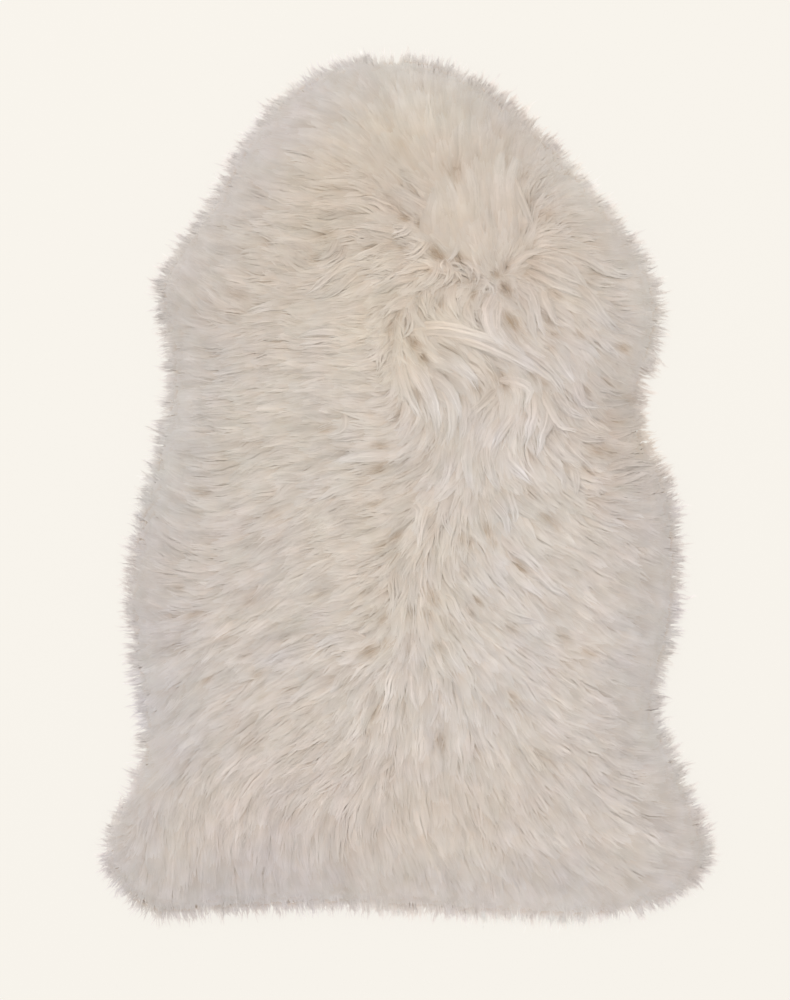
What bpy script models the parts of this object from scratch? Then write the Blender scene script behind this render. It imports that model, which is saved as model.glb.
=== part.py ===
"""Sheepskin rug: one long-wooled skin lying flat, wool side up.

Frame: metres, +Z up, origin on the floor under the middle of the rug's box, +Y towards the
head end, +X to the right when seen from above with the head end away from the viewer.

The skin and its wool are one piece, so the rug is one closed solid: a flat underside where
the hide lies on the floor, the cut outline of the skin with its wool, and a soft crown as
high as the wool stands. It is a loft over cross sections down the length of the skin,
rounded by a Subdivision Surface.
"""

import bpy
import bmesh

MM = 0.001

# --- driving sizes ---------------------------------------------------------------------
RUG_LENGTH = 900 * MM      # wool tip to wool tip, head to tail
RUG_WIDTH = 635 * MM       # wool tip to wool tip, across the flare at the hind legs
WOOL_CROWN = 46 * MM       # hide and lying wool together, in the middle of the rug
EDGE_OVERHANG = 0.10       # how far the foot of the wool sits in under its tips, in crowns
TAIL_FADE = 70 * MM        # how far up the rug the unevenness of the tail end reaches

# One row a section, from the tail to the head. station, left and right are in millimetres
# from the middle of the box; crown is the height there as a share of WOOL_CROWN.
SECTION_COLUMNS = ("station", "left", "right", "crown")
SECTIONS = (
    (-451, -242, 208, 0.42),   # tail end, cut almost straight across
    (-446, -262, 238, 0.60),
    (-436, -281, 268, 0.75),
    (-420, -299, 294, 0.89),
    (-399, -315, 313, 0.96),   # hind corners, the widest place
    (-375, -318, 319, 0.99),
    (-348, -308, 309, 1.00),
    (-318, -292, 297, 1.00),
    (-288, -279, 286, 1.00),
    (-256, -274, 271, 1.00),
    (-224, -279, 258, 1.00),   # flank, drawn in above the hind legs
    (-192, -285, 269, 1.00),
    (-150, -289, 281, 1.02),
    (-100, -294, 286, 1.03),
    (-55, -288, 285, 1.03),
    (-15, -277, 283, 1.02),
    (20, -267, 270, 1.01),
    (52, -259, 249, 1.00),
    (84, -252, 243, 1.00),     # waist behind the forelegs
    (116, -248, 251, 1.00),
    (150, -251, 265, 1.00),
    (184, -260, 269, 0.99),
    (216, -261, 262, 0.97),    # shoulders
    (250, -239, 244, 0.96),
    (284, -213, 217, 0.97),
    (320, -193, 187, 0.98),
    (354, -175, 158, 0.98),
    (386, -152, 127, 0.95),
    (412, -128, 97, 0.87),
    (430, -102, 69, 0.77),
    (442, -75, 44, 0.62),
    (450, -50, 22, 0.44),      # head end, a rounded neck
)

# The tail end isn't quite straight: how far it is drawn in, in millimetres, going across.
TAIL_COLUMNS = ("across", "drawn_in")
TAIL_EDGE = (
    (-250, 0),
    (-190, 9),
    (-130, 11),
    (-70, 13),
    (-10, 10),
    (50, 6),
    (110, 3),
    (170, 1),
    (240, 3),
)

# Half of a cross section, from the foot of the wool up over its edge to the crown. inset is
# measured in from the outline, in crown heights, but never more than limit times the
# section's width, so that the narrow sections at the neck keep the same rounded form.
PROFILE_COLUMNS = ("inset", "limit", "rise")
PROFILE = (
    (EDGE_OVERHANG, 0.03, 0.00),
    (0.00, 0.00, 0.27),
    (0.13, 0.05, 0.60),
    (0.42, 0.11, 0.83),
    (0.95, 0.17, 0.95),
    (2.10, 0.23, 0.995),
)
MIDDLE = (0.30, 0.40, 0.50, 0.60, 0.70)    # columns over the crown, as shares of the width


def drawn_in(x, y):
    """How far a point at x, y moves up the rug, so that the tail end has its uneven line."""
    rows = [dict(zip(TAIL_COLUMNS, row)) for row in TAIL_EDGE]
    lift = rows[0]["drawn_in"] if x < rows[0]["across"] * MM else rows[-1]["drawn_in"]
    for a, b in zip(rows, rows[1:]):
        if a["across"] * MM <= x <= b["across"] * MM:
            t = (x / MM - a["across"]) / (b["across"] - a["across"])
            lift = a["drawn_in"] + (b["drawn_in"] - a["drawn_in"]) * t * t * (3 - 2 * t)
    tail = SECTIONS[0][0] * MM
    fade = max(0.0, 1.0 - (y - tail) / TAIL_FADE)
    return lift * MM * fade


def section_points(row):
    """The cage points of one cross section: from the left foot over the top to the right
    foot, then back under the rug to the left, one point under each column."""
    s = dict(zip(SECTION_COLUMNS, row))
    y, left, right = s["station"] * MM, s["left"] * MM, s["right"] * MM
    crown, width = s["crown"] * WOOL_CROWN, right - left
    half = []
    for entry in PROFILE:
        p = dict(zip(PROFILE_COLUMNS, entry))
        half.append((min(p["inset"] * crown, p["limit"] * width), p["rise"] * crown))
    top = [(left + inset, z) for inset, z in half]
    top += [(left + share * width, crown) for share in MIDDLE]
    top += [(right - inset, z) for inset, z in reversed(half)]
    under = [(x, 0.0) for x, z in reversed(top[len(half) - 1:len(top) - len(half) + 1])]
    return [(x, y + drawn_in(x, y), z) for x, z in top + under]


def make_cage(name):
    """A closed loft over the sections: rings of points side by side, joined, with a cap at each end."""
    bm = bmesh.new()
    rings = [[bm.verts.new(p) for p in section_points(row)] for row in SECTIONS]
    n = len(rings[0])
    for a, b in zip(rings, rings[1:]):
        for i in range(n):
            j = (i + 1) % n
            bm.faces.new((a[i], a[j], b[j], b[i]))
    # Each end is closed between the columns over the crown and those under the rug.
    side, last = len(PROFILE), 2 * len(PROFILE) + len(MIDDLE)
    for ring in (rings[0], rings[-1]):
        bm.faces.new(ring[:side] + [ring[-1]])
        bm.faces.new(ring[last - side:last + 1])
        for i in range(side - 1, last - side):
            j = n - 1 - (i - (side - 1))
            bm.faces.new((ring[i], ring[i + 1], ring[j - 1], ring[j]))
    bmesh.ops.recalc_face_normals(bm, faces=bm.faces)

    # The foot of the wool stays a crisp line on the floor when the cage is rounded.
    crease = bm.edges.layers.float.new("crease_edge")
    for edge in bm.edges:
        if all(abs(v.co.z) < 1e-7 for v in edge.verts):
            edge[crease] = 1.0

    mesh = bpy.data.meshes.new(name)
    bm.to_mesh(mesh)
    bm.free()
    mesh.shade_smooth()
    return mesh


def wool_material():
    mat = bpy.data.materials.new("wool")
    mat.use_nodes = True
    shader = mat.node_tree.nodes["Principled BSDF"]
    shader.inputs["Base Color"].default_value = (0.66, 0.59, 0.51, 1.0)
    shader.inputs["Roughness"].default_value = 0.9
    shader.inputs["Metallic"].default_value = 0.0
    return mat


def main():
    for obj in list(bpy.data.objects):
        bpy.data.objects.remove(obj, do_unlink=True)

    collection = bpy.data.collections.new("sheepskin_rug")
    bpy.context.scene.collection.children.link(collection)

    rug = bpy.data.objects.new("sheepskin", make_cage("sheepskin"))
    collection.objects.link(rug)
    rug.data.materials.append(wool_material())

    soften = rug.modifiers.new("soften", "SUBSURF")
    soften.levels = 1
    soften.render_levels = 1

    # The loft's box is brought to the driving sizes, with its middle over the origin.
    bpy.context.view_layer.update()
    soft = rug.evaluated_get(bpy.context.evaluated_depsgraph_get()).to_mesh()
    xs = [v.co.x for v in soft.vertices]
    ys = [v.co.y for v in soft.vertices]
    kx, ky = RUG_WIDTH / (max(xs) - min(xs)), RUG_LENGTH / (max(ys) - min(ys))
    mx, my = (max(xs) + min(xs)) / 2, (max(ys) + min(ys)) / 2
    for v in rug.data.vertices:
        v.co.x = (v.co.x - mx) * kx
        v.co.y = (v.co.y - my) * ky


main()
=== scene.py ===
"""Looks of the long-wool sheepskin rug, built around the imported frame.

The wool is real geometry: about 120,000 tapered, wavy ribbons of wool gathered into locks,
combed along a chart of headings, over a low fleece and a thin suede hide.
Lengths are in metres unless a table says millimetres.
"""

import bpy
import bmesh
import math
import numpy as np
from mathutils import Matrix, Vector
from mathutils.kdtree import KDTree


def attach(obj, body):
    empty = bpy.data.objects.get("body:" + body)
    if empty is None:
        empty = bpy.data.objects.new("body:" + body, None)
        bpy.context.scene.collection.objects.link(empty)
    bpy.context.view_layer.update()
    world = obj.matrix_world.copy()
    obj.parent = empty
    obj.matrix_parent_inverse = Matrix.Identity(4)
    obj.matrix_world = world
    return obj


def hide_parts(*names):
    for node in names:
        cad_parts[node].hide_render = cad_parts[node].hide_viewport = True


MM = 0.001
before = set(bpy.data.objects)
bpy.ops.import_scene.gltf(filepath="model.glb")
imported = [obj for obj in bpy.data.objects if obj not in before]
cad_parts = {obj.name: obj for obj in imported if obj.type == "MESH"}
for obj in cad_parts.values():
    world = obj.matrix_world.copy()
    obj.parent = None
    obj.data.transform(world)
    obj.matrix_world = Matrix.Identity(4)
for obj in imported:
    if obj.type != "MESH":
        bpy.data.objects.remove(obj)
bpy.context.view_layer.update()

# ---------------------------------------------------------------------------------------
# Sizes
# ---------------------------------------------------------------------------------------
HIDE_T = 0.0025            # thickness of the hide
RIM_DEPTH = 0.0134         # how far in from the outline the coat starts to thin
RIM_HAIR = 0.0074          # mean length of the hairs past that, which thin out steadily
HIDE_INSET = 0.033         # the wool reaches this far past the cut edge of the hide
LOCK_PITCH = 0.0098        # spacing of the locks' roots
LOCK_LENGTH = 0.050
LOCK_HALF = 0.0066         # half width of a lock where it is fullest
FIBRE_HALF = 0.00045       # half width of a ribbon of wool fibres
STRANDS_PER_PIECE = 20500
WOOL_PIECES = 4
SEGMENTS = 5
PIT_DEPTH = 0.75
WOOL_THROUGH = 0.52        # share of the light that passes through a ribbon
FILL_STRANDS = 5000
RIM_STRANDS = 10000
FRINGE_STRANDS = 21000
FRINGE_TUFTS = 1700
STRAY_HAIRS = 2500
FIBRE_SHADE = 0.005        # how far one ribbon's shade strays, and one lock's
LOCK_SHADE = 0.029
RISE_FROM = 0.936           # how high a lock's root lies, as a share of the coat
MAIN_LIFT = 0.0014
MAIN_DIP = 0.25            # how far a main lock follows the partings it crosses
STREAK_RELIEF = 0.00072    # how high the coat's ridges stand, and how much their tops are painted lighter and their furrows darker as painted shade
STREAK_PAINTED_SHADE = 0.025
COAT_SHARE = 0.89          # how far a ribbon shades as the coat and not as itself

# Height of the wool over the floor against the distance in from its outline, millimetres.
SHOULDER = ((-14, 1.5), (-6, 4), (0, 9), (5, 19), (12, 28), (22, 35), (40, 41), (70, 44.5), (110, 46))

# How much further out the wool runs, millimetres, every 10 degrees round from 4 degrees.
RIM_SHIFT = (2.1, -2.5, 0.6, -1.5, 3.4, 3.6, 3.0, 3.1, -1.5, -0.5, 2.6, 2.4, 0.6, 3.1, 0.9, -0.5, 0.4, 0.9,
             -3.7, -1.1, -1.0, 0.2, 0.2, -0.9, -3.0, -2.2, -3.2, -0.8, 2.0, -4.2, 2.6, 1.7, -0.1, -0.9, -0.2, -0.7)

# Combing chart: the heading of the wool, in degrees (0 to the right, 90 towards the head),
# in rows across the rug. Columns are COMB_X millimetres from the middle; None lies off the rug.
COMB_X = (-297, -260, -222, -185, -148, -110, -73, -36, 2, 39, 76, 114, 151, 188, 226, 263, 300)
N = None
COMBING = (
    (423, (N, N, N, N, N, N, 150, 135, 105, 80, 60, N, N, N, N, N, N)),
    (386, (N, N, N, N, N, 160, 155, 120, 100, 93, 85, 70, N, N, N, N, N)),
    (348, (N, N, N, N, 170, 165, 150, 130, 125, 95, 82, 70, 45, N, N, N, N)),
    (311, (N, N, N, 160, 155, 165, 175, 155, 140, 112, 98, 90, 30, 10, N, N, N)),
    (274, (N, N, N, 170, 170, 170, 180, 170, 160, 100, 95, 100, 20, 5, 5, N, N)),
    (236, (N, 160, 150, 165, 165, 160, 215, 195, 180, 120, 115, 60, 350, 352, 0, 0, N)),
    (199, (N, 130, 135, 160, 175, 185, 200, 205, 210, 250, 230, 305, 325, 330, 355, 0, N)),
    (162, (N, 165, 165, 190, 185, 180, 180, 200, 300, 335, 315, 315, 320, 320, 335, 10, N)),
    (124, (N, 180, 180, 185, 185, 180, 175, 185, 300, 330, 322, 328, 318, 315, 325, 350, N)),
    (87, (N, 180, 180, 185, 185, 185, 175, 175, 275, 300, 275, 250, 290, 318, 335, 350, N)),
    (50, (N, 170, 180, 185, 195, 185, 185, 185, 215, 262, 250, 250, 303, 340, 0, 5, N)),
    (12, (N, 135, 170, 200, 200, 190, 190, 190, 210, 242, 288, 308, 300, 335, 5, 15, N)),
    (-25, (N, 140, 165, 195, 205, 200, 200, 190, 215, 245, 285, 308, 325, 335, 350, 5, N)),
    (-62, (N, 145, 175, 195, 205, 205, 200, 200, 240, 262, 295, 315, 328, 330, 335, 340, N)),
    (-100, (145, 160, 170, 205, 210, 215, 203, 215, 262, 298, 312, 312, 320, 325, 335, 325, N)),
    (-137, (165, 175, 195, 210, 210, 200, 195, 205, 268, 300, 318, 325, 325, 335, 340, 330, N)),
    (-174, (N, 200, 215, 210, 210, 205, 205, 210, 245, 303, 317, 325, 330, 335, 340, 340, N)),
    (-212, (N, 225, 225, 210, 215, 207, 212, 245, 268, 290, 297, 320, 325, 335, 345, N, N)),
    (-249, (N, 225, 215, 205, 215, 215, 222, 250, 265, 275, 295, 310, 320, 338, 345, N, N)),
    (-286, (N, 238, 228, 220, 215, 215, 222, 243, 265, 270, 290, 300, 310, 315, 340, 5, N)),
    (-324, (N, 248, 245, 240, 245, 230, 232, 255, 275, 280, 290, 290, 308, 312, 330, 350, N)),
    (-361, (235, 262, 268, 273, 262, 260, 270, 278, 288, 283, 275, 290, 310, 312, 330, 345, 355)),
    (-398, (230, 262, 268, 275, 265, 285, 290, 288, 285, 288, 288, 300, 308, 325, 325, 340, N)),
    (-435, (N, N, 270, 275, 268, 285, 285, 285, 282, 285, 285, 292, 300, 305, N, N, N)),
)

# Places where the wool is tangled and lies a little lower.
# x, y, radius (millimetres), tangle 0 to 1, hollow (millimetres)
TANGLES = (
    (-8, 240, 22, 0.6, 5),
    (32, 212, 15, 0.8, 6),
    (62, 204, 15, 0.8, 6),
    (96, 202, 13, 0.6, 5),
    (60, 190, 26, 0.6, 3),
    (10, 205, 26, 0.5, 3),
    (118, 190, 14, 0.4, 6),
    (128, 158, 12, 0.3, 6),
    (-8, 165, 22, 0.3, 2),
    (-10, 110, 20, 0.25, 2),
    (130, 84, 20, 0.5, 5),
    (205, 40, 18, 0.3, 4),
    (175, 0, 16, 0.4, 3),
    (110, -215, 12, 0.4, 4),
    (35, -262, 12, 0.5, 7),
    (-20, -60, 18, 0.4, 2),
    (-30, -130, 16, 0.4, 2),
    (-45, -165, 16, 0.5, 4),
    (60, -350, 30, 0.4, 3),
    (-160, -345, 26, 0.4, 2),
    (-120, 240, 22, 0.4, 2),
)

# Small places where the wool parts down to its darker, warmer roots, their colour also darkened there as painted shade
# in the hollow.
# x, y, radius, depth (millimetres), strength 0 to 1
PITS = (
    (-2, 277, 5, 7, 1.0), (15, 269, 6, 6, 0.9), (31, 239, 7, 9, 1.0), (55, 233, 6, 7, 0.9),
    (-15, 250, 4, 4, 0.5), (-4, 246, 3, 5, 0.7), (-36, 247, 4, 4, 0.7), (25, 247, 3, 3, 0.4),
    (22, 224, 4, 4, 0.8), (92, 218, 4, 4, 0.8), (102, 226, 5, 5, 0.7), (102, 203, 6, 8, 1.0),
    (108, 170, 8, 8, 1.0), (82, 189, 5, 5, 1.0), (69, 198, 4, 5, 0.8), (36, 189, 4, 5, 0.7),
    (-9, 177, 5, 4, 0.6), (-16, 164, 7, 3, 0.6), (8, 147, 6, 8, 1.0), (18, 133, 5, 7, 0.9),
    (44, 137, 6, 7, 1.0), (-15, 148, 5, 3, 0.3), (11, 96, 5, 4, 0.5), (-7, 77, 5, 4, 0.5),
    (-26, 43, 6, 5, 0.8), (-29, 19, 7, 5, 0.7), (-3, 16, 4, 4, 0.7), (92, 113, 8, 4, 0.7),
    (99, 106, 5, 7, 0.9), (87, 96, 6, 4, 0.7), (73, 101, 5, 5, 0.6), (59, 90, 4, 4, 0.4),
    (35, 116, 4, 5, 0.5), (130, 114, 5, 4, 0.5), (142, 107, 3, 5, 0.7), (128, 221, 7, 5, 0.6),
    (144, 212, 4, 5, 0.7), (152, 197, 5, 5, 0.8), (146, 171, 5, 5, 0.6), (152, 157, 4, 5, 0.8),
    (177, 157, 4, 4, 0.5), (66, 213, 3, 5, 0.5), (183, 100, 4, 6, 0.7), (184, 89, 4, 5, 0.8),
    (198, 39, 8, 4, 0.7), (211, 33, 4, 4, 0.5), (129, 30, 4, 5, 0.6), (146, 43, 4, 4, 0.5),
    (128, -4, 7, 3, 0.5), (166, 19, 4, 5, 0.6), (186, 17, 5, 5, 0.8), (80, 141, 5, 4, 0.3),
    (148, 143, 4, 4, 0.7), (206, 106, 5, 4, 0.6), (213, 71, 7, 4, 0.7), (-36, 75, 5, 3, 0.5),
    (120, 262, 6, 3, 0.2), (131, 234, 5, 5, 0.5), (193, 221, 6, 3, 0.5), (223, 143, 6, 5, 0.7),
    (229, 91, 6, 3, 0.5), (-30, 290, 6, 3, 0.4), (-12, 286, 5, 4, 0.6), (-94, 234, 5, 5, 0.8),
    (-66, 242, 4, 4, 0.4), (-81, 259, 6, 3, 0.5), (-69, 305, 5, 3, 0.4), (-142, 212, 6, 4, 0.4),
    (-173, 197, 7, 4, 0.5), (-150, 188, 3, 3, 0.4), (-81, 60, 5, 4, 0.8), (-126, 68, 5, 3, 0.3),
    (-188, 22, 9, 3, 0.2), (-209, -5, 6, 3, 0.4), (-136, -27, 7, 4, 0.5), (-79, -4, 4, 3, 0.3),
    (-33, -16, 5, 4, 0.7), (-11, -50, 6, 4, 0.7), (-27, -60, 5, 4, 0.6), (83, -44, 6, 5, 0.7),
    (89, -57, 4, 5, 0.8), (117, -82, 7, 7, 1.0), (81, -15, 4, 4, 0.6), (145, -33, 5, 5, 0.7),
    (153, -39, 5, 5, 0.6), (26, -40, 5, 4, 0.4), (58, -54, 6, 4, 0.4), (66, -54, 4, 4, 0.5),
    (60, -91, 4, 5, 0.6), (27, -112, 6, 4, 0.6), (6, -129, 4, 3, 0.4), (24, -130, 5, 4, 0.4),
    (-24, -134, 5, 5, 0.7), (66, -128, 4, 5, 0.5), (72, -116, 4, 5, 0.8), (109, -145, 6, 5, 0.5),
    (150, -126, 8, 3, 0.2), (161, -153, 5, 5, 0.6), (41, -145, 6, 3, 0.3), (35, -163, 7, 3, 0.4),
    (-21, -160, 5, 5, 0.7), (2, -166, 4, 3, 0.4), (109, -213, 6, 5, 0.7), (188, -170, 5, 4, 0.7),
    (102, -66, 5, 4, 0.4), (-38, -167, 7, 6, 0.9), (-43, -108, 5, 3, 0.4), (-88, -108, 6, 3, 0.3),
    (-159, -116, 7, 4, 0.4), (-219, -130, 7, 4, 0.5), (-235, -104, 5, 3, 0.4), (-123, -153, 5, 4, 0.4),
    (-167, -173, 4, 3, 0.3), (-152, -191, 5, 4, 0.7), (-204, -197, 4, 4, 0.6), (-147, -215, 4, 3, 0.4),
    (-121, -209, 4, 3, 0.2), (-33, -232, 5, 5, 0.7), (-39, -253, 4, 5, 0.6), (-150, -261, 4, 3, 0.3),
    (-165, -263, 7, 3, 0.2), (-77, -197, 7, 3, 0.3), (35, -260, 6, 7, 0.8), (50, 324, 9, 4, 0.6),
    (-20, 298, 5, 3, 0.4), (142, 279, 7, 3, 0.4), (124, 289, 8, 3, 0.4), (37, 328, 5, 3, 0.4),
    (-4, 349, 8, 3, 0.4), (122, 317, 7, 3, 0.3), (104, 334, 6, 3, 0.3), (25, 307, 5, 3, 0.3),
)

# The main locks one sees: where each starts, two places on its way, and its tip, then its
# half width (millimetres) and how pale it is.
LOCKS = (
    (-5, 160, 33, 164, 76, 154, 114, 139, 6.0, 0.3), (26, 161, 64, 152, 103, 135, 138, 114, 6.0, 0.3),
    (66, 156, 101, 141, 132, 124, 155, 104, 5.5, 0.5), (95, 207, 82, 180, 89, 156, 114, 133, 5.5, 0.9),
    (101, 199, 91, 176, 99, 153, 128, 131, 4.5, 0.5), (107, 212, 128, 197, 134, 172, 145, 151, 5.5, 0.6),
    (114, 201, 126, 182, 128, 162, 138, 143, 4.0, 0.3), (138, 209, 144, 189, 152, 172, 165, 162, 4.5, 0.3),
    (122, 224, 145, 212, 165, 203, 184, 195, 4.5, 0.2), (126, 238, 155, 234, 174, 220, 188, 199, 5.0, 0.2),
    (118, 234, 138, 226, 161, 216, 190, 205, 4.0, 0.1), (186, 234, 201, 226, 217, 220, 236, 220, 5.0, 0.3),
    (159, 243, 185, 234, 201, 224, 223, 214, 4.5, 0.2), (170, 214, 190, 193, 205, 172, 223, 156, 4.5, 0.3),
    (155, 195, 178, 189, 196, 176, 213, 158, 5.0, 0.2), (188, 168, 196, 153, 209, 141, 223, 131, 4.0, 0.1),
    (151, 156, 170, 151, 190, 141, 205, 126, 4.5, 0.2), (144, 147, 155, 133, 165, 118, 180, 100, 5.0, 0.4),
    (118, 141, 136, 126, 153, 110, 165, 87, 5.5, 0.5), (186, 143, 201, 126, 215, 114, 234, 106, 5.0, 0.1),
    (159, 120, 174, 104, 180, 87, 207, 81, 5.5, 0.5), (147, 106, 157, 89, 170, 75, 192, 71, 5.0, 0.4),
    (180, 124, 192, 110, 207, 100, 230, 95, 5.0, 0.1), (184, 89, 201, 87, 217, 87, 236, 89, 4.5, 0.2),
    (138, 100, 147, 79, 159, 62, 184, 56, 5.0, 0.4), (18, 143, 41, 133, 62, 118, 75, 97, 7.0, 0.8),
    (31, 137, 51, 126, 68, 114, 80, 108, 4.5, 0.6), (-3, 135, 14, 114, 26, 89, 35, 58, 6.5, 0.7),
    (18, 122, 39, 106, 51, 87, 55, 60, 6.0, 0.8), (4, 126, 18, 102, 29, 77, 33, 48, 5.0, 0.4),
    (35, 108, 45, 87, 47, 64, 41, 39, 5.0, 0.6), (-9, 131, -3, 108, 6, 87, 18, 66, 5.0, 0.2),
    (58, 100, 62, 81, 58, 60, 53, 37, 4.5, 0.3), (97, 106, 80, 89, 64, 73, 53, 54, 4.5, -0.3),
    (101, 100, 91, 83, 78, 66, 70, 44, 5.0, 0.0), (95, 110, 111, 109, 126, 100, 121, 79, 5.0, 0.4),
    (128, 100, 130, 81, 126, 60, 120, 37, 5.5, 0.6), (114, 87, 107, 71, 95, 54, 85, 33, 5.0, 0.3),
    (145, 91, 145, 71, 138, 50, 134, 29, 5.0, 0.5), (66, 60, 62, 39, 62, 19, 68, -4, 5.5, 0.4),
    (82, 52, 82, 31, 87, 12, 97, -6, 5.5, 0.4), (45, 54, 45, 33, 41, 12, 33, -6, 5.0, 0.3),
    (97, 50, 103, 31, 116, 15, 132, 2, 5.5, 0.5), (138, 60, 151, 44, 165, 31, 184, 23, 5.5, 0.3),
    (155, 54, 170, 39, 182, 27, 194, 15, 4.5, 0.2), (134, 37, 147, 27, 159, 12, 165, -8, 4.5, 0.4),
    (165, 27, 172, 15, 174, 2, 172, -12, 4.0, 0.2), (159, 66, 174, 56, 190, 50, 213, 52, 5.0, 0.2),
    (201, 79, 217, 75, 232, 77, 248, 83, 4.5, 0.1), (205, 56, 221, 58, 236, 62, 252, 71, 4.5, 0.1),
    (201, 17, 219, 23, 238, 25, 259, 23, 5.5, 0.3), (199, 4, 217, 8, 238, 15, 257, 19, 5.5, 0.1),
    (32, 234, 32, 222, 22, 209, 6, 201, 4.0, 0.5), (41, 234, 45, 224, 43, 214, 35, 203, 3.0, 0.2),
    (47, 230, 58, 228, 64, 220, 66, 207, 2.8, 0.3), (45, 224, 52, 220, 55, 212, 53, 201, 2.5, 0.1),
    (62, 234, 70, 226, 74, 216, 70, 203, 3.2, 0.2), (52, 261, 53, 249, 49, 238, 41, 230, 2.5, 0.6),
    (66, 214, 78, 212, 89, 205, 85, 193, 4.0, 0.2), (49, 209, 47, 195, 51, 180, 58, 168, 4.5, 0.2),
    (66, 195, 62, 182, 68, 168, 80, 156, 4.5, 0.0), (35, 203, 24, 193, 26, 178, 35, 166, 3.8, 0.0),
    (18, 203, 14, 191, 20, 178, 31, 168, 3.8, -0.1), (6, 274, 2, 265, -7, 259, -17, 255, 4.0, 0.6),
    (24, 257, 18, 247, 8, 238, -7, 236, 4.5, 0.1), (26, 228, 12, 226, -3, 222, -19, 214, 4.0, 0.0),
    (-5, 230, -13, 220, -23, 212, -38, 203, 2.5, 0.4), (14, 216, -3, 214, -21, 205, -38, 195, 5.0, 0.2),
    (-11, 247, -25, 245, -42, 238, -59, 234, 4.5, 0.1), (-9, 263, -25, 265, -42, 268, -59, 265, 4.5, 0.1),
    (-7, 280, -21, 288, -36, 294, -52, 297, 4.5, 0.2), (103, 228, 114, 234, 128, 241, 147, 243, 4.0, 0.0),
    (6, 191, -7, 189, -19, 182, -32, 172, 5.0, 0.2), (-3, 182, 4, 174, 2, 162, -7, 151, 4.0, 0.3),
    (-11, 151, -21, 143, -27, 131, -30, 116, 4.5, -0.2), (6, 195, 6, 180, 14, 168, 26, 160, 4.0, 0.2),
    (-3, -12, 12, -18, 12, -33, 6, -54, 4.5, 0.2), (24, -12, 18, -29, 14, -48, 12, -68, 4.5, 0.2),
    (43, -12, 39, -29, 45, -44, 53, -56, 4.0, 0.3), (82, -6, 95, -21, 103, -35, 105, -54, 5.0, 0.5),
    (101, 2, 107, -12, 111, -27, 109, -41, 4.5, 0.4), (91, -44, 109, -60, 128, -75, 145, -95, 5.0, 0.2),
    (97, -71, 109, -87, 126, -102, 145, -116, 5.0, 0.2), (122, -75, 136, -89, 153, -104, 172, -116, 5.0, 0.4),
    (74, -62, 85, -81, 97, -97, 114, -112, 5.0, 0.1), (51, -71, 64, -87, 76, -102, 93, -118, 4.5, 0.3),
    (31, -108, 45, -112, 53, -129, 66, -145, 5.0, 0.3), (47, -122, 60, -139, 70, -153, 85, -164, 5.0, 0.2),
    (76, -116, 97, -126, 118, -135, 145, -139, 5.0, 0.2), (35, -145, 45, -162, 53, -178, 66, -197, 4.5, 0.1),
    (-11, -75, -13, -95, -13, -116, -19, -137, 5.0, 0.0), (6, -75, 8, -95, 6, -116, 8, -139, 5.0, 0.1),
    (-7, -178, -15, -195, -19, -214, -27, -232, 5.0, 0.2), (6, -180, 6, -199, 8, -218, 14, -236, 5.0, 0.2),
    (-36, -158, -57, -151, -79, -156, -100, -168, 5.0, 0.3), (-42, -178, -59, -185, -71, -201, -83, -220, 5.0, 0.1),
    (-69, -193, -92, -201, -110, -212, -127, -228, 5.0, 0.3), (-79, -158, -104, -164, -127, -170, -150, -182, 5.0, 0.3),
    (-32, 8, -52, 4, -75, -4, -98, -17, 4.5, 0.3), (-11, 33, -32, 33, -57, 31, -79, 23, 5.5, 0.6),
    (-36, 62, -46, 56, -63, 52, -83, 50, 4.5, 0.1), (-64, 79, -63, 66, -71, 56, -88, 52, 3.5, 0.2),
    (-52, 153, -73, 160, -94, 160, -115, 153, 4.5, 0.3), (-57, 141, -75, 147, -96, 147, -119, 141, 4.5, 0.2),
    (-110, 191, -127, 189, -146, 185, -166, 178, 5.0, 0.4), (-63, 253, -65, 241, -75, 230, -90, 224, 3.5, 0.2),
    (-71, 259, -75, 247, -83, 238, -98, 234, 3.5, 0.1), (-59, 234, -75, 220, -90, 207, -106, 195, 4.0, 0.3),
    (22, 245, 23, 268, 25, 288, 32, 309, 6.0, 0.2), (36, 245, 35, 270, 32, 293, 26, 321, 5.5, 0.1),
    (52, 255, 51, 278, 47, 299, 39, 319, 5.5, 0.25), (68, 255, 70, 283, 69, 309, 61, 338, 6.0, 0.1),
    (89, 257, 96, 286, 93, 314, 98, 351, 6.0, 0.15), (105, 257, 108, 286, 105, 313, 118, 351, 5.5, 0.1),
    (105, 328, 113, 307, 122, 286, 131, 263, 4.0, -0.2), (35, 348, 36, 361, 35, 373, 32, 388, 5.5, 0.1),
    (51, 328, 54, 345, 53, 361, 58, 380, 5.5, 0.2), (68, 340, 71, 356, 67, 371, 70, 390, 5.5, 0.15),
    (82, 335, 79, 353, 83, 369, 82, 388, 5.5, 0.2), (97, 351, 95, 363, 100, 377, 103, 394, 5.5, 0.1),
    (35, 301, 19, 307, 4, 317, -13, 324, 5.0, 0.1), (31, 283, 14, 291, -2, 300, -19, 307, 5.0, 0.2),
    (39, 234, 35, 228, 37, 222, 33, 215, 2.8, 0.8), (41, 225, 47, 230, 55, 227, 57, 218, 2.0, 0.5),
    (47, 217, 50, 223, 57, 223, 59, 216, 1.6, 0.5), (55, 233, 63, 230, 67, 223, 66, 215, 2.4, 0.4),
    (-44, 228, -59, 214, -73, 201, -92, 191, 4.0, 0.1), (-92, 234, -104, 249, -121, 253, -142, 255, 4.5, 0.1),
)


# ---------------------------------------------------------------------------------------
# Small numeric tools
# ---------------------------------------------------------------------------------------
def smooth(t):
    t = np.clip(t, 0.0, 1.0)
    return t * t * (3 - 2 * t)


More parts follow.
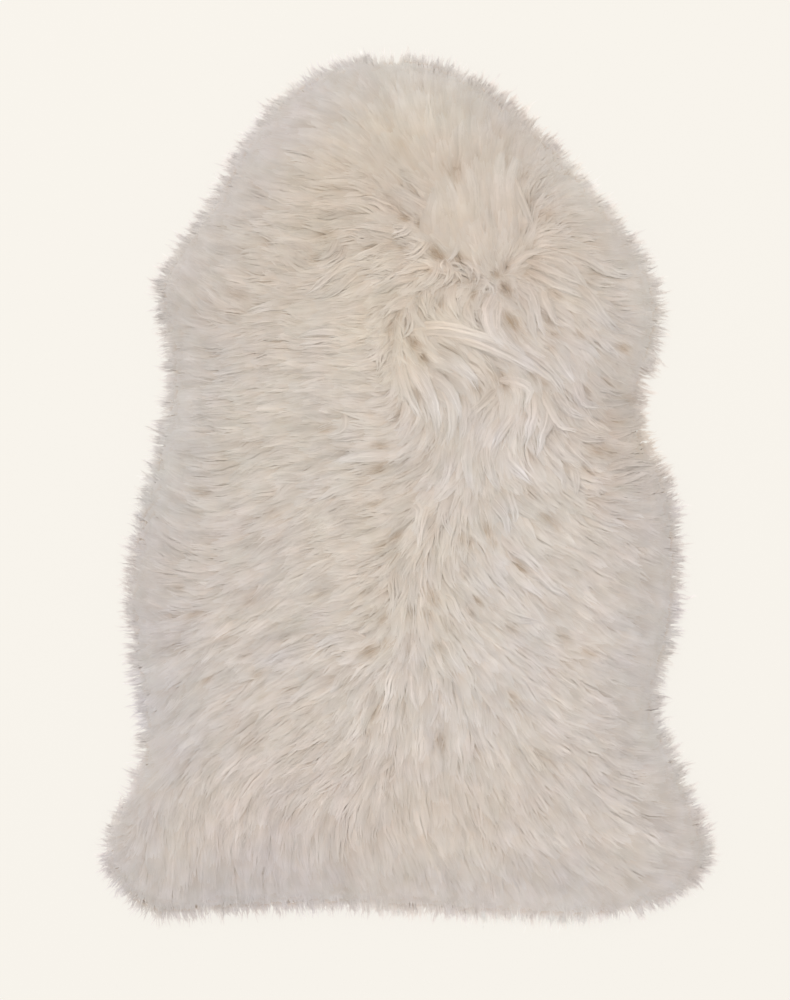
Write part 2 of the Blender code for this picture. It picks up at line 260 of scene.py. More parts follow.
def _hash(ix, iy, seed):
    n = (ix * 374761393 + iy * 668265263 + seed * 2147483647 // 7) & 0xFFFFFFFF
    n = ((n ^ (n >> 13)) * 1274126177) & 0xFFFFFFFF
    n = (n ^ (n >> 16)) & 0xFFFF
    return n / 32767.5 - 1.0


def vnoise(x, y, scale, seed):
    """Smooth value noise from -1 to 1."""
    u, v = x / scale, y / scale
    iu, iv = np.floor(u).astype(np.int64), np.floor(v).astype(np.int64)
    fu, fv = u - iu, v - iv
    fu, fv = fu * fu * (3 - 2 * fu), fv * fv * (3 - 2 * fv)
    a, b = _hash(iu, iv, seed), _hash(iu + 1, iv, seed)
    c, d = _hash(iu, iv + 1, seed), _hash(iu + 1, iv + 1, seed)
    return (a * (1 - fu) + b * fu) * (1 - fv) + (c * (1 - fu) + d * fu) * fv


# ---------------------------------------------------------------------------------------
# The outline, read off the CAD solid
# ---------------------------------------------------------------------------------------
def cad_outline(obj, step=0.003):
    """The solid's outline seen from above, as evenly spaced points, counter-clockwise: the
    furthest crossing of the solid's edges with each ray from the middle."""
    co = np.array([v.co[:2] for v in obj.data.vertices], float)
    ends = np.array([e.vertices[:] for e in obj.data.edges])
    a, ab = co[ends[:, 0]], co[ends[:, 1]] - co[ends[:, 0]]
    theta = np.linspace(0, 2 * np.pi, 1440, endpoint=False)
    radius = np.zeros(len(theta))
    for i, t in enumerate(theta):
        c, s = math.cos(t), math.sin(t)
        det = c * ab[:, 1] - s * ab[:, 0]
        det = np.where(np.abs(det) < 1e-12, 1e-12, det)
        r = (a[:, 0] * ab[:, 1] - a[:, 1] * ab[:, 0]) / det
        k = (a[:, 0] * s - a[:, 1] * c) / det
        ok = (k >= -1e-6) & (k <= 1 + 1e-6) & (r > 0)
        radius[i] = r[ok].max()
    p = np.c_[radius * np.cos(theta), radius * np.sin(theta)]
    q = np.vstack([p, p[:1]])
    s = np.r_[0, np.cumsum(np.linalg.norm(np.diff(q, axis=0), axis=1))]
    n = int(s[-1] / step)
    t = np.linspace(0, s[-1], n, endpoint=False)
    return np.c_[np.interp(t, s, q[:, 0]), np.interp(t, s, q[:, 1])]


OUTLINE = cad_outline(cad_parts["sheepskin"])

# Fields on a plan grid
CELL = 0.0025
GX = np.arange(-0.36, 0.36 + CELL / 2, CELL)
GY = np.arange(-0.49, 0.49 + CELL / 2, CELL)
XX, YY = np.meshgrid(GX, GY)


def sample(field, x, y):
    """Bilinear reading of a grid field at points."""
    u = np.clip((x - GX[0]) / CELL, 0, len(GX) - 1.001)
    v = np.clip((y - GY[0]) / CELL, 0, len(GY) - 1.001)
    iu, iv = u.astype(int), v.astype(int)
    fu, fv = u - iu, v - iv
    return (field[iv, iu] * (1 - fu) + field[iv, iu + 1] * fu) * (1 - fv) + (
        field[iv + 1, iu] * (1 - fu) + field[iv + 1, iu + 1] * fu) * fv


def distance_field(poly):
    """Distance to the outline, positive inside."""
    a, b = poly, np.roll(poly, -1, axis=0)
    out = np.empty(XX.shape)
    for i in range(len(GY)):
        d = np.hypot(GX[:, None] - a[None, :, 0], GY[i] - a[None, :, 1]).min(1)
        cross = ((a[:, 1] > GY[i]) != (b[:, 1] > GY[i]))
        ax, bx = a[cross], b[cross]
        xs = ax[:, 0] + (GY[i] - ax[:, 1]) / (bx[:, 1] - ax[:, 1]) * (bx[:, 0] - ax[:, 0])
        inside = (GX[:, None] > xs[None, :]).sum(1) % 2 == 1
        out[i] = np.where(inside, d, -d)
    return out


def blur(f, times):
    for _ in range(times):
        f = (f + np.roll(f, 1, 0) + np.roll(f, -1, 0)) / 3
        f = (f + np.roll(f, 1, 1) + np.roll(f, -1, 1)) / 3
    return f


DIST = distance_field(OUTLINE)
_g = blur(DIST, 6)
_gy, _gx = np.gradient(_g, CELL)
_l = np.hypot(_gx, _gy) + 1e-9
OUT_X, OUT_Y = -_gx / _l, -_gy / _l            # outward, away from the middle


def comb_field():
    px, py, hx, hy = [], [], [], []
    for y, row in COMBING:
        for x, heading in zip(COMB_X, row):
            if heading is not None:
                px.append(x * MM), py.append(y * MM)
                hx.append(math.cos(math.radians(heading))), hy.append(math.sin(math.radians(heading)))
    px, py, hx, hy = map(np.array, (px, py, hx, hy))
    fx, fy = np.zeros(XX.shape), np.zeros(XX.shape)
    for i in range(len(GY)):
        w = np.exp(-((GX[:, None] - px) ** 2 + (GY[i] - py) ** 2) / (2 * 0.0175 ** 2)) + 1e-12
        w = w / w.sum(1, keepdims=True)
        fx[i], fy[i] = w @ hx, w @ hy
    calm = np.hypot(fx, fy)                     # small where headings clash, as at a parting
    fx, fy = fx / (calm + 1e-9), fy / (calm + 1e-9)
    e = smooth((0.040 - DIST) / 0.045) * 0.85
    fx, fy = fx * (1 - e) + OUT_X * e, fy * (1 - e) + OUT_Y * e
    n = np.hypot(fx, fy) + 1e-9
    return fx / n, fy / n, calm


FLOW_X, FLOW_Y, CALM = comb_field()

TANGLE, HOLLOW, PIT_SHADE = np.zeros(XX.shape), np.zeros(XX.shape), np.zeros(XX.shape)
for _x, _y, _r, _t, _h in TANGLES:
    _w = np.exp(-((XX - _x * MM) ** 2 + (YY - _y * MM) ** 2) / (2 * (_r * MM * 0.6) ** 2))
    TANGLE = np.maximum(TANGLE, _w * _t)
    HOLLOW = np.maximum(HOLLOW, _w * _h * MM * 0.35)
for _x, _y, _r, _h, _k in PITS:                 # longer along the combing than across it
    _x, _y, _r = _x * MM, _y * MM, _r * MM
    _fx, _fy = float(sample(FLOW_X, np.array(_x), np.array(_y))), float(sample(FLOW_Y, np.array(_x), np.array(_y)))
    _a, _b = (XX - _x) * _fx + (YY - _y) * _fy, (YY - _y) * _fx - (XX - _x) * _fy
    _w = np.exp(-(_a / (1.35 * _r)) ** 2 - (_b / (0.80 * _r)) ** 2)
    HOLLOW = np.maximum(HOLLOW, _w * _h * MM * PIT_DEPTH)
    # how far the colour is darkened here: root colour and painted shade in the hollow
    PIT_SHADE = np.maximum(PIT_SHADE, _w * _k)

_sd, _sh = np.array(SHOULDER, float).T * MM

# How strongly the wool is gathered into locks: most right of the middle, least at the edges
# and over the neck.
CLUMP = 0.15 + 0.50 * smooth((DIST - 0.030) / 0.07)
CLUMP += 0.55 * np.exp(-((XX - 0.080) / 0.085) ** 2 - ((YY - 0.060) / 0.150) ** 2)
CLUMP += 0.25 * np.exp(-((XX - 0.040) / 0.090) ** 2 - ((YY + 0.150) / 0.120) ** 2)
CLUMP *= 1 - 0.7 * np.exp(-((XX - 0.080) / 0.090) ** 2 - ((YY - 0.345) / 0.080) ** 2)
CLUMP = np.clip(CLUMP, 0, 1)

# Where the coat is sleek: over the neck, along the edges and at the tail
SILK = smooth((0.060 - DIST) / 0.045)
SILK = np.maximum(SILK, np.exp(-(np.maximum(np.abs(XX - 0.065) - 0.030, 0) / 0.028) ** 2
                               - (np.maximum(np.abs(YY - 0.340) - 0.085, 0) / 0.022) ** 2))
SILK = np.maximum(SILK, 0.9 * smooth((YY - 0.290) / 0.05))
SILK = np.maximum(SILK, 0.7 * smooth((-0.330 - YY) / 0.06))
SILK = np.maximum(SILK, 0.30 + 0.05 * smooth((-0.060 - XX) / 0.08))
SILK = SILK * (1 - 0.5 * np.exp(-((XX - 0.200) ** 2 + (YY - 0.030) ** 2) / (2 * 0.055 ** 2)))


def streaks(seed, along_mm, times):
    """Noise drawn out along the combing, from about -2 to 2: ridges and furrows of the coat."""
    noise = blur(np.random.default_rng(seed).normal(0, 1, XX.shape), times)
    total, count = noise.copy(), 1
    for sign in (1, -1):
        x, y = XX.copy(), YY.copy()
        for _ in range(int(along_mm * MM / 2 / CELL)):
            x = x + sign * CELL * sample(FLOW_X, x, y)
            y = y + sign * CELL * sample(FLOW_Y, x, y)
            total += sample(noise, x, y)
            count += 1
    total = total / count
    inside = DIST > 0.01
    return np.clip((total - total[inside].mean()) / total[inside].std(), -2.5, 2.5)


STREAK = 0.60 * streaks(5, 38, 1) + 0.45 * streaks(7, 26, 0) + 0.30 * streaks(6, 70, 5)


def wool_height(x, y, dip=1.0):
    """Height of the top of the wool over the floor. dip: how far it follows the hollows."""
    d = sample(DIST, x, y)
    h = np.interp(d, _sd, _sh)
    soft = smooth((d - 0.010) / 0.04)
    h = h + soft * (0.0016 * vnoise(x, y, 0.055, 3) + 0.0012 * vnoise(x, y, 0.026, 4))
    h = h + soft * STREAK_RELIEF * sample(STREAK, x, y) * (1 - 0.35 * sample(SILK, x, y))
    return h - soft * sample(HOLLOW, x, y) * dip


# ---------------------------------------------------------------------------------------
# Locks
# ---------------------------------------------------------------------------------------
rng = np.random.default_rng(41)
K = 12                                         # steps along a lock


def lock_roots(pitch):
    """Roots on a shaken triangular grid over the hide and a little past it."""
    rows = []
    y, odd = GY[0], False
    while y < GY[-1]:
        xs = np.arange(GX[0] + (pitch / 2 if odd else 0), GX[-1], pitch)
        rows.append(np.c_[xs, np.full(len(xs), y)])
        y += pitch * 0.866
        odd = not odd
    p = np.vstack(rows)
    p = p + rng.uniform(-0.42, 0.42, p.shape) * pitch
    return p[sample(DIST, p[:, 0], p[:, 1]) > 0.011]


def comb_locks(roots, length, wander=1.0):
    """Walks every lock along the combing. Returns points (lock, step, xy) and lengths."""
    n = len(roots)
    x, y = roots[:, 0].copy(), roots[:, 1].copy()
    tangle = sample(TANGLE, x, y)
    bias = rng.normal(0, 0.13, n) * wander * (1 + 3.5 * tangle)
    bias += 0.20 * vnoise(x, y, 0.030, 11) + 0.16 * vnoise(x, y, 0.014, 12)
    neck = np.exp(-((x - 0.060) / 0.070) ** 2 - ((y - 0.330) / 0.090) ** 2)      # soft tufts
    bias += neck * (0.32 * vnoise(x, y, 0.024, 14) + 0.22 * vnoise(x, y, 0.012, 15))
    bend = rng.normal(0, 0.20, n) * wander * (1 + 4.0 * tangle)
    sleek = 1 - 0.6 * sample(SILK, x, y)
    bias, bend = bias * sleek, bend * sleek
    path = np.empty((n, K + 1, 2))
    path[:, 0, 0], path[:, 0, 1] = x, y
    ds = length / K
    for k in range(K):
        fx, fy = sample(FLOW_X, x, y), sample(FLOW_Y, x, y)
        a = np.arctan2(fy, fx) + bias + bend * (k / K - 0.4)
        x = x + np.cos(a) * ds
        y = y + np.sin(a) * ds
        path[:, k + 1, 0], path[:, k + 1, 1] = x, y
    return path


def grow(roots):
    length = LOCK_LENGTH * rng.uniform(0.75, 1.2, len(roots)) * (
        1 - 0.50 * sample(TANGLE, roots[:, 0], roots[:, 1]))
    return length, comb_locks(roots, length)


def drawn_locks(table):
    """Paths of the main locks: a smooth curve through the four places of each."""
    paths = []
    for row in table:
        p = np.array(row[:8], float).reshape(4, 2) * MM
        q = np.vstack([2 * p[0] - p[1], p, 2 * p[3] - p[2]])
        pts = []
        for k in range(3):
            a, b, c, d = q[k:k + 4]
            for t in np.linspace(0, 1, 16, endpoint=(k == 2)):
                pts.append(0.5 * (2 * b + (c - a) * t + (2 * a - 5 * b + 4 * c - d) * t ** 2
                                  + (3 * b - a - 3 * c + d) * t ** 3))
        pts = np.array(pts)
        along_it = np.r_[0, np.cumsum(np.linalg.norm(np.diff(pts, axis=0), axis=1))]
        u = np.linspace(0, along_it[-1], K + 1)
        paths.append(np.c_[np.interp(u, along_it, pts[:, 0]), np.interp(u, along_it, pts[:, 1])])
    paths = np.array(paths)
    return paths, np.linalg.norm(np.diff(paths, axis=1), axis=2).sum(1)


COVER_CELL = 0.006


def cover_count(path):
    """How many lock steps lie in each small square of the rug."""
    nx, ny = int(0.72 / COVER_CELL), int(0.98 / COVER_CELL)
    ix = np.clip(((path[..., 0] + 0.36) / COVER_CELL).astype(int), 0, nx - 1)
    iy = np.clip(((path[..., 1] + 0.49) / COVER_CELL).astype(int), 0, ny - 1)
    grid = np.zeros((ny, nx))
    np.add.at(grid, (iy.ravel(), ix.ravel()), 1.0)
    p = np.pad(grid, 1)
    return sum(p[j:j + ny, i:i + nx] for j in range(3) for i in range(3)) / 9


def patch_locks(path):
    """Short locks across the places that the combing leaves bare."""
    grid = cover_count(path[:, 3:])
    enough = 0.62 * np.median(grid[grid > 0])
    iy, ix = np.nonzero(grid < enough)
    x, y = (ix + 0.5) * COVER_CELL - 0.36, (iy + 0.5) * COVER_CELL - 0.49
    ok = sample(DIST, x, y) > 0.007
    x, y, want = x[ok], y[ok], ((enough - grid[iy, ix]) / enough)[ok]
    x, y = np.repeat(x, 1 + (want > 0.5)), np.repeat(y, 1 + (want > 0.5))
    n = len(x)
    x, y = x + rng.normal(0, 0.002, n), y + rng.normal(0, 0.002, n)
    size = rng.uniform(0.022, 0.036, n)
    loose = 0.15 + 0.65 * sample(TANGLE, x, y)
    a = np.arctan2(sample(FLOW_Y, x, y), sample(FLOW_X, x, y)) + rng.normal(0, 1, n) * loose
    turn = rng.normal(0, 1.4, n) * loose
    s = np.linspace(-0.62, 0.38, K + 1)[None, :]
    h = a[:, None] + turn[:, None] * s
    step = size[:, None] / K
    px = np.cumsum(np.cos(h) * step, 1)
    py = np.cumsum(np.sin(h) * step, 1)
    mid = int(0.62 * K)
    px = px - px[:, mid:mid + 1] + x[:, None]
    py = py - py[:, mid:mid + 1] + y[:, None]
    return np.stack([px, py], -1), size


def rim_locks():
    """Small locks that run out to the outline, close together all the way round it."""
    p = OUTLINE[:: 2] + rng.normal(0, 0.0012, OUTLINE[:: 2].shape)
    rows = []
    for inset in (0.014, 0.021):
        d = inset * rng.uniform(0.9, 1.1, len(p))
        q = p.copy()
        for _ in range(3):
            gap = d - sample(DIST, q[:, 0], q[:, 1])
            q = q - np.c_[sample(OUT_X, q[:, 0], q[:, 1]), sample(OUT_Y, q[:, 0], q[:, 1])] * gap[:, None]
        rows.append(q)
    p = np.vstack(rows)
    size = np.full(len(p), 0.036)
    return comb_locks(p, size, 0.7), size


roots = lock_roots(LOCK_PITCH)
length, PATH = grow(roots)
rim_path, rim_length = rim_locks()
hero_path, hero_length = drawn_locks(LOCKS)
patch_path, patch_length = patch_locks(np.concatenate([PATH, hero_path]))
KIND = np.repeat([0, 1, 3, 2], [len(PATH), len(patch_path), len(rim_path), len(hero_path)])
PATH = np.concatenate([PATH, patch_path, rim_path, hero_path])    # combed, patch, rim, main
length = np.r_[length, patch_length, rim_length, hero_length]
roots = PATH[:, 0]
NL = len(PATH)
main = KIND == 2
DPATH = sample(DIST, PATH[..., 0], PATH[..., 1])

# The body of a lock ends this far short of the outline; its longer hairs run on past it.
_round = np.degrees(np.arctan2(PATH[:, -1, 1], PATH[:, -1, 0])) % 360
SHIFT = np.interp(_round, np.arange(-6, 370, 10), np.r_[RIM_SHIFT[-1], RIM_SHIFT, RIM_SHIFT[0]]) * MM
reach = np.where(main, -0.0025, -RIM_DEPTH) + SHIFT + rng.normal(0, 0.0009, NL)
over = DPATH < -reach[:, None]
first = np.where(over.any(1), over.argmax(1), K)
END = np.ones(NL)
hit = over.any(1)
k1 = np.clip(first, 1, K)
da, db = DPATH[np.arange(NL), k1 - 1], DPATH[np.arange(NL), k1]
frac = np.clip((da + reach) / np.maximum(da - db, 1e-6), 0, 1)
END[hit] = np.maximum((k1 - 1 + frac) / K, 0.15)[hit]

# What each lock is like
root_d = sample(DIST, roots[:, 0], roots[:, 1])
SIZE = LOCK_HALF * rng.uniform(0.8, 1.2, NL)                 # half width
SIZE[KIND == 1] = 0.0036
SIZE[KIND == 3] = 0.0042
SIZE[main] = np.array([row[8] for row in LOCKS]) * MM
SLEEK = sample(SILK, PATH[:, K // 2, 0], PATH[:, K // 2, 1])
TOPNESS = 1.0 - 0.034 * rng.random(NL) ** 1.5 * (1 - 0.70 * SLEEK)   # how high it lies
TOPNESS[main] = 1.0
LIFT = np.where(main, MAIN_LIFT * (1 - 0.75 * SLEEK), 0.0)
GATHER = sample(CLUMP, roots[:, 0], roots[:, 1])            # how far its tip gathers
GATHER[KIND == 1] = 0.8
GATHER[KIND == 3] = 0.0
GATHER[main] = 0.9 - 0.5 * SLEEK[main]
low = (root_d < 0.034) & (rng.random(NL) < 0.35) & (KIND < 2)
TOPNESS[low] *= rng.uniform(0.35, 0.95, low.sum())
low = (KIND == 3) & (rng.random(NL) < 0.55)
TOPNESS[low] *= rng.uniform(0.20, 0.92, low.sum())
COVERED = np.where(main, MAIN_DIP, 1.0)                      # how far it dips into a parting and takes its painted shade
SHADE = np.clip(rng.normal(0, 1, NL), -1.8, 1.8)
SHADE[main] = np.array([row[9] for row in LOCKS]) * 1.2 * (1 - 0.3 * SLEEK[main])
PALENESS = np.where(main, 0.0, rng.normal(0, 0.08, NL))
PALENESS[main] = np.array([row[9] for row in LOCKS]) * 0.75 + 0.25
WAVE_PHASE = rng.uniform(0, 2 * np.pi, NL)
WAVE_LEN = rng.uniform(0.018, 0.030, NL)
WAVE_LEN *= 1 - 0.4 * sample(TANGLE, roots[:, 0], roots[:, 1])
WAVE_AMP = rng.uniform(0.0003, 0.0011, NL) * (1 + 2.0 * sample(TANGLE, roots[:, 0], roots[:, 1]))
WAVE_AMP *= 1 - 0.5 * SLEEK


def along(table, lock, t):
    """Reads a per-lock table (lock, step, ...) at parameters t (strand, point)."""
    u = np.clip(t * K, 0, K - 1e-6)
    i = u.astype(int)
    f = u - i
    if table.ndim == 3:
        f = f[..., None]
    return table[lock[:, None], i] * (1 - f) + table[lock[:, None], i + 1] * f


_top = wool_height(XX, YY)
_ty, _tx = np.gradient(blur(_top, 2), CELL)


def coat_normal(x, y):
    gx, gy = sample(_tx, x, y), sample(_ty, x, y)
    k = 1 / (1 + 0.9 * np.hypot(gx, gy))                # loose wool shades softly where it falls away
    n = np.stack([-gx * k, -gy * k, np.ones(x.shape)], -1)
    return n / np.linalg.norm(n, axis=-1, keepdims=True)


def make_strands(lock, segments, t_first, t_last, sub, spread, lift, half, sway=None):
    """Ribbons in their locks. Returns (strand, 2 * segments + 1, 3) points.

    lock: lock of each strand; t_first, t_last: where it starts and ends along the lock;
    sub: which tuft of the lock it is in, -1 to 1 across; spread: its own place across the
    tuft, -1 to 1; lift: its place up through the lock, 0 to 1; half: half its width;
    sway: how far its tuft sways, the phase of that, its wavelength, and how high it lies.
    """
    n = len(lock)
    m = segments + 1
    s = np.linspace(0, 1, m)[None, :]
    t = t_first[:, None] + (t_last - t_first)[:, None] * s
    centre = along(PATH, lock, t)
    L = length[lock][:, None]

    # direction along the lock, and across it
    e = 0.04
    ahead, behind = along(PATH, lock, np.minimum(t + e, 1)), along(PATH, lock, np.maximum(t - e, 0))
    d = ahead - behind
    d /= np.linalg.norm(d, axis=2, keepdims=True) + 1e-12
    across = np.stack([-d[..., 1], d[..., 0]], -1)

    tau = t / END[lock][:, None]                        # 0 root, 1 tip of this lock
    c = GATHER[lock][:, None]
    full = SIZE[lock][:, None] * smooth(tau / 0.35 + 0.45) * (
        1 - (0.20 + 0.55 * c) * np.clip((tau - 0.35) / 0.65, 0, 1) ** 1.3)
    tuft = full * 0.55 * (1 - (0.1 + 0.45 * c) * smooth(tau))
    wave = WAVE_AMP[lock][:, None] * (0.4 + tau) * np.sin(
        2 * np.pi * t * L / WAVE_LEN[lock][:, None] + WAVE_PHASE[lock][:, None] + sub[:, None] * 1.3)
    sleek = SLEEK[lock][:, None]
    own = rng.normal(0, 1, (n, 1)) * 0.0004 * (1 - 0.5 * sleek) * np.sin(
        2 * np.pi * t * L / rng.uniform(0.014, 0.030, (n, 1)) + rng.uniform(0, 6.28, (n, 1)))
    if sway is not None:
        own = own + sway[0][:, None] * smooth(tau / 0.5) * np.sin(2 * np.pi * t * L / sway[2][:, None] + sway[1][:, None])
    u = sub[:, None] * full + spread[:, None] * tuft + wave + own
    xy = centre + across * u[..., None]

    # height: roots low, coming up over the neighbours, the tip laid down again
    h = wool_height(xy[..., 0], xy[..., 1], COVERED[lock][:, None])
    start = RISE_FROM + 0.032 * sleek
    rise = start + (0.995 - start) * smooth(tau / 0.62) - 0.020 * smooth((tau - 0.70) / 0.40)
    z = h * rise * TOPNESS[lock][:, None] + LIFT[lock][:, None] * smooth(tau / 0.25) * smooth((1.05 - tau) / 0.3)
    q = np.clip(u / (full * 1.5 + 1e-6), -1, 1)
    dome = (0.0008 + 0.0013 * c) * smooth(z / 0.02) * (1 - 0.6 * smooth((tau - 0.5) / 0.5))
    dome = dome * (1 - 0.6 * sleek)
    z = z + dome * (1 - q * q) * 1.0 - 0.0010 * (1 - 0.7 * sleek) * (1 - lift[:, None]) + rng.normal(0, 0.00006, (n, m))
    if sway is not None:
        z = z + (sway[3] + 0.6 * sway[0] * (lift - 0.5))[:, None] * smooth(tau / 0.3)
    z = np.maximum(z, 0.0009)

    p = np.concatenate([xy, z[..., None]], -1)
    tan = np.empty_like(p)
    tan[:, 1:-1] = p[:, 2:] - p[:, :-2]
    tan[:, 0], tan[:, -1] = p[:, 1] - p[:, 0], p[:, -1] - p[:, -2]
    tan /= np.linalg.norm(tan, axis=2, keepdims=True) + 1e-12
    side = np.cross(np.array([0.0, 0.0, 1.0]), tan)
    side /= np.linalg.norm(side, axis=2, keepdims=True) + 1e-9
    up = np.cross(tan, side)
    roll = -np.arctan(2 * q * dome / (full + 1e-6)) * 0.9 + rng.normal(0, 0.11, (n, 1)) * (1 - 0.6 * sleek)
    edge = side * np.cos(roll)[..., None] + up * np.sin(roll)[..., None]
    w = half[:, None] * np.interp(s, [0, 0.2, 0.6, 0.8, 1.0], [0.8, 1.0, 0.9, 0.6, 0.0])
    left, right = p - edge * w[..., None], p + edge * w[..., None]
    left[..., 2], right[..., 2] = np.maximum(left[..., 2], 0.0006), np.maximum(right[..., 2], 0.0006)
    out = np.empty((n, 2 * segments + 1, 3))
    out[:, 0:-1:2] = left[:, :-1]
    out[:, 1:-1:2] = right[:, :-1]
    out[:, -1] = p[:, -1]
    # the coat shades as one soft surface, each ribbon leaning only a little from it
    face = up * np.cos(roll)[..., None] - side * np.sin(roll)[..., None]
    coat = coat_normal(p[..., 0], p[..., 1])
    normal = coat * COAT_SHARE + face * (1 - COAT_SHARE)
    normal /= np.linalg.norm(normal, axis=2, keepdims=True) + 1e-12
    normals = np.repeat(normal, 2, axis=1)[:, : 2 * segments + 1]
    normals[:, -1] = normal[:, -1]
    return out, tau, normals


# ---------------------------------------------------------------------------------------
# Colour of the wool
# ---------------------------------------------------------------------------------------
WARM = np.array([0.860, 0.822, 0.801])
COOL = np.array([0.868, 0.843, 0.843])
ROOT_TINT_AND_SHADE = np.array([0.93, 0.880, 0.828])            # what the colour is multiplied by at the root: warmer root wool, also darkened as painted shade deep in the coat


# painted shade: the coat darker and cooler towards its outline
EDGE_SHADE_TINT = np.array([0.955, 0.958, 0.968])
# Broad differences over the coat: x, y, radius (millimetres), change in red, green, blue
TONES = (
    (35, 320, 52, (-0.035, -0.055, -0.085)),
    (-100, 255, 60, (-0.030, -0.040, -0.070)),
    (-165, 60, 90, (-0.025, -0.020, -0.030)),
    (-160, -130, 60, (-0.010, -0.005, 0.000)),
    (80, -160, 75, (0.030, 0.045, 0.060)),
    (120, 10, 50, (0.025, 0.035, 0.035)),
    (235, 60, 45, (-0.045, -0.075, -0.115)),
    (-235, -60, 55, (-0.050, -0.060, -0.065)),
    (0, 160, 60, (0.020, 0.010, -0.030)),
    (0, -80, 60, (-0.020, -0.030, -0.060)),
    (160, 265, 55, (-0.020, -0.040, -0.075)),
    (240, -75, 55, (-0.025, -0.035, -0.050)),
    (-120, -350, 70, (-0.020, -0.030, -0.025)),
    (-60, -230, 65, (0.015, 0.020, 0.020)),
    (-200, 170, 55, (-0.035, -0.045, -0.055)),
    (-60, 330, 50, (-0.035, -0.055, -0.085)),
    (-235, -230, 55, (-0.020, -0.015, -0.005)),
    (10, 395, 60, (0.020, 0.025, 0.005)),
    (262, -225, 38, (-0.025, -0.020, -0.025)),
    (-265, 0, 30, (0.020, 0.035, 0.035)),
    (185, 322, 35, (0.045, 0.060, 0.070)),
    (250, 205, 45, (-0.005, -0.005, -0.025)),
    (110, 370, 50, (-0.020, -0.035, -0.060)),
    (20, -360, 70, (-0.010, -0.020, -0.035)),
)
# the colour in a parting: darker, warmer roots and painted shade in the hollow
PIT_SHADE_TINT = np.array([0.80, 0.70, 0.585])


def wool_colour(x, y, tau, shade, pale=0.0, deep=1.0):
    """Linear colour per point: warmer along the back, darker and warmer at the roots (root colour and painted shade),
    cooler and darker to the edges (painted shade), lighter at the rim (painted light). pale: how far the wool itself
    is cooler and whiter; deep: how far it takes a crossed parting's colour, its roots and painted shade."""
    d = sample(DIST, x, y)
    # painted shade: cooler towards the outline; the noise and the places below are the wool's own tone
    cool = 0.15 + 0.55 * smooth((0.13 - d) / 0.12) + 0.12 * vnoise(x, y, 0.06, 21)
    cool = cool + 0.25 * smooth((x - 0.02) / 0.1) * smooth((0.15 - np.abs(y + 0.05)) / 0.15)
    cool = cool - 0.3 * np.exp(-((x - 0.03) ** 2 + (y - 0.235) ** 2) / (2 * 0.05 ** 2))
    cool = np.clip(cool + pale, 0, 1.2)[..., None]
    c = WARM * (1 - cool) + COOL * cool
    # warmer root colour and painted shade: darker and warmer towards each ribbon's root, deep under the next locks
    r = np.clip(1 - tau / 0.75, 0, 1)[..., None] ** 1.3
    c = c * (1 - r * (1 - ROOT_TINT_AND_SHADE))
    ragged = 0.0016 * vnoise(x, y, 0.0042, 27)
    # root colour and painted shade in the partings
    pit_shade = np.clip(sample(PIT_SHADE, x + ragged, y + 0.0016 * vnoise(x, y, 0.0042, 28)) * deep, 0, 1.2)
    c = c * (1 - pit_shade[..., None] * (1 - PIT_SHADE_TINT))
    for bx, by, br, amount in TONES:
        w = np.exp(-((x - bx * MM) ** 2 + (y - by * MM) ** 2) / (2 * (br * MM) ** 2))
        c = c * (1 + w[..., None] * np.array(amount))
    # painted shade: darker and cooler near the outline, most on the left and towards the head
    side = 0.8 + 0.3 * smooth((0.10 - x) / 0.2) + 0.2 * smooth((y - 0.2) / 0.1)
    c = c * (1 - (side * smooth((0.090 - d) / 0.060))[..., None] * (1 - EDGE_SHADE_TINT))
    rim = 0.106 * smooth((0.017 - d) / 0.017)              # painted light: thin wool near the outline drawn lighter, as light comes through it
    # painted light: lighter still along the rim of the tail
    tail = np.exp(-((x - 0.105) / 0.190) ** 2) * smooth((-0.360 - y) / 0.05)
    rim = rim + 0.085 * tail * smooth((0.050 - d) / 0.044)
    # painted shade: the coat's ridges lighter and its furrows darker, following the relief
    streak = STREAK_PAINTED_SHADE * sample(STREAK, x, y) * (1 - 0.30 * sample(SILK, x, y))
    light = (shade + streak)[..., None] * np.array([0.96, 1.01, 1.09])               # whiter wool is cooler too, and so are the painted highlights on ridges and top ribbons
    # the painted rim light, a little cooler
    light = light + rim[..., None] * np.array([0.98, 1.01, 1.08])
    tinge = 0.004 * vnoise(x, y, 0.022, 23) + 0.004 * vnoise(x, y, 0.008, 24)
    warmth = 0.010 * vnoise(x, y, 0.045, 25) + 0.006 * vnoise(x, y, 0.020, 26)
    return np.clip(c * (1 + light + np.stack([0.3 * warmth, tinge, -warmth], -1)), 0.02, 0.975)


def palette_row(shade, n=1000):
    return (np.clip((shade + 0.18) / 0.36, 0, 1) * (n - 1)).astype(int)


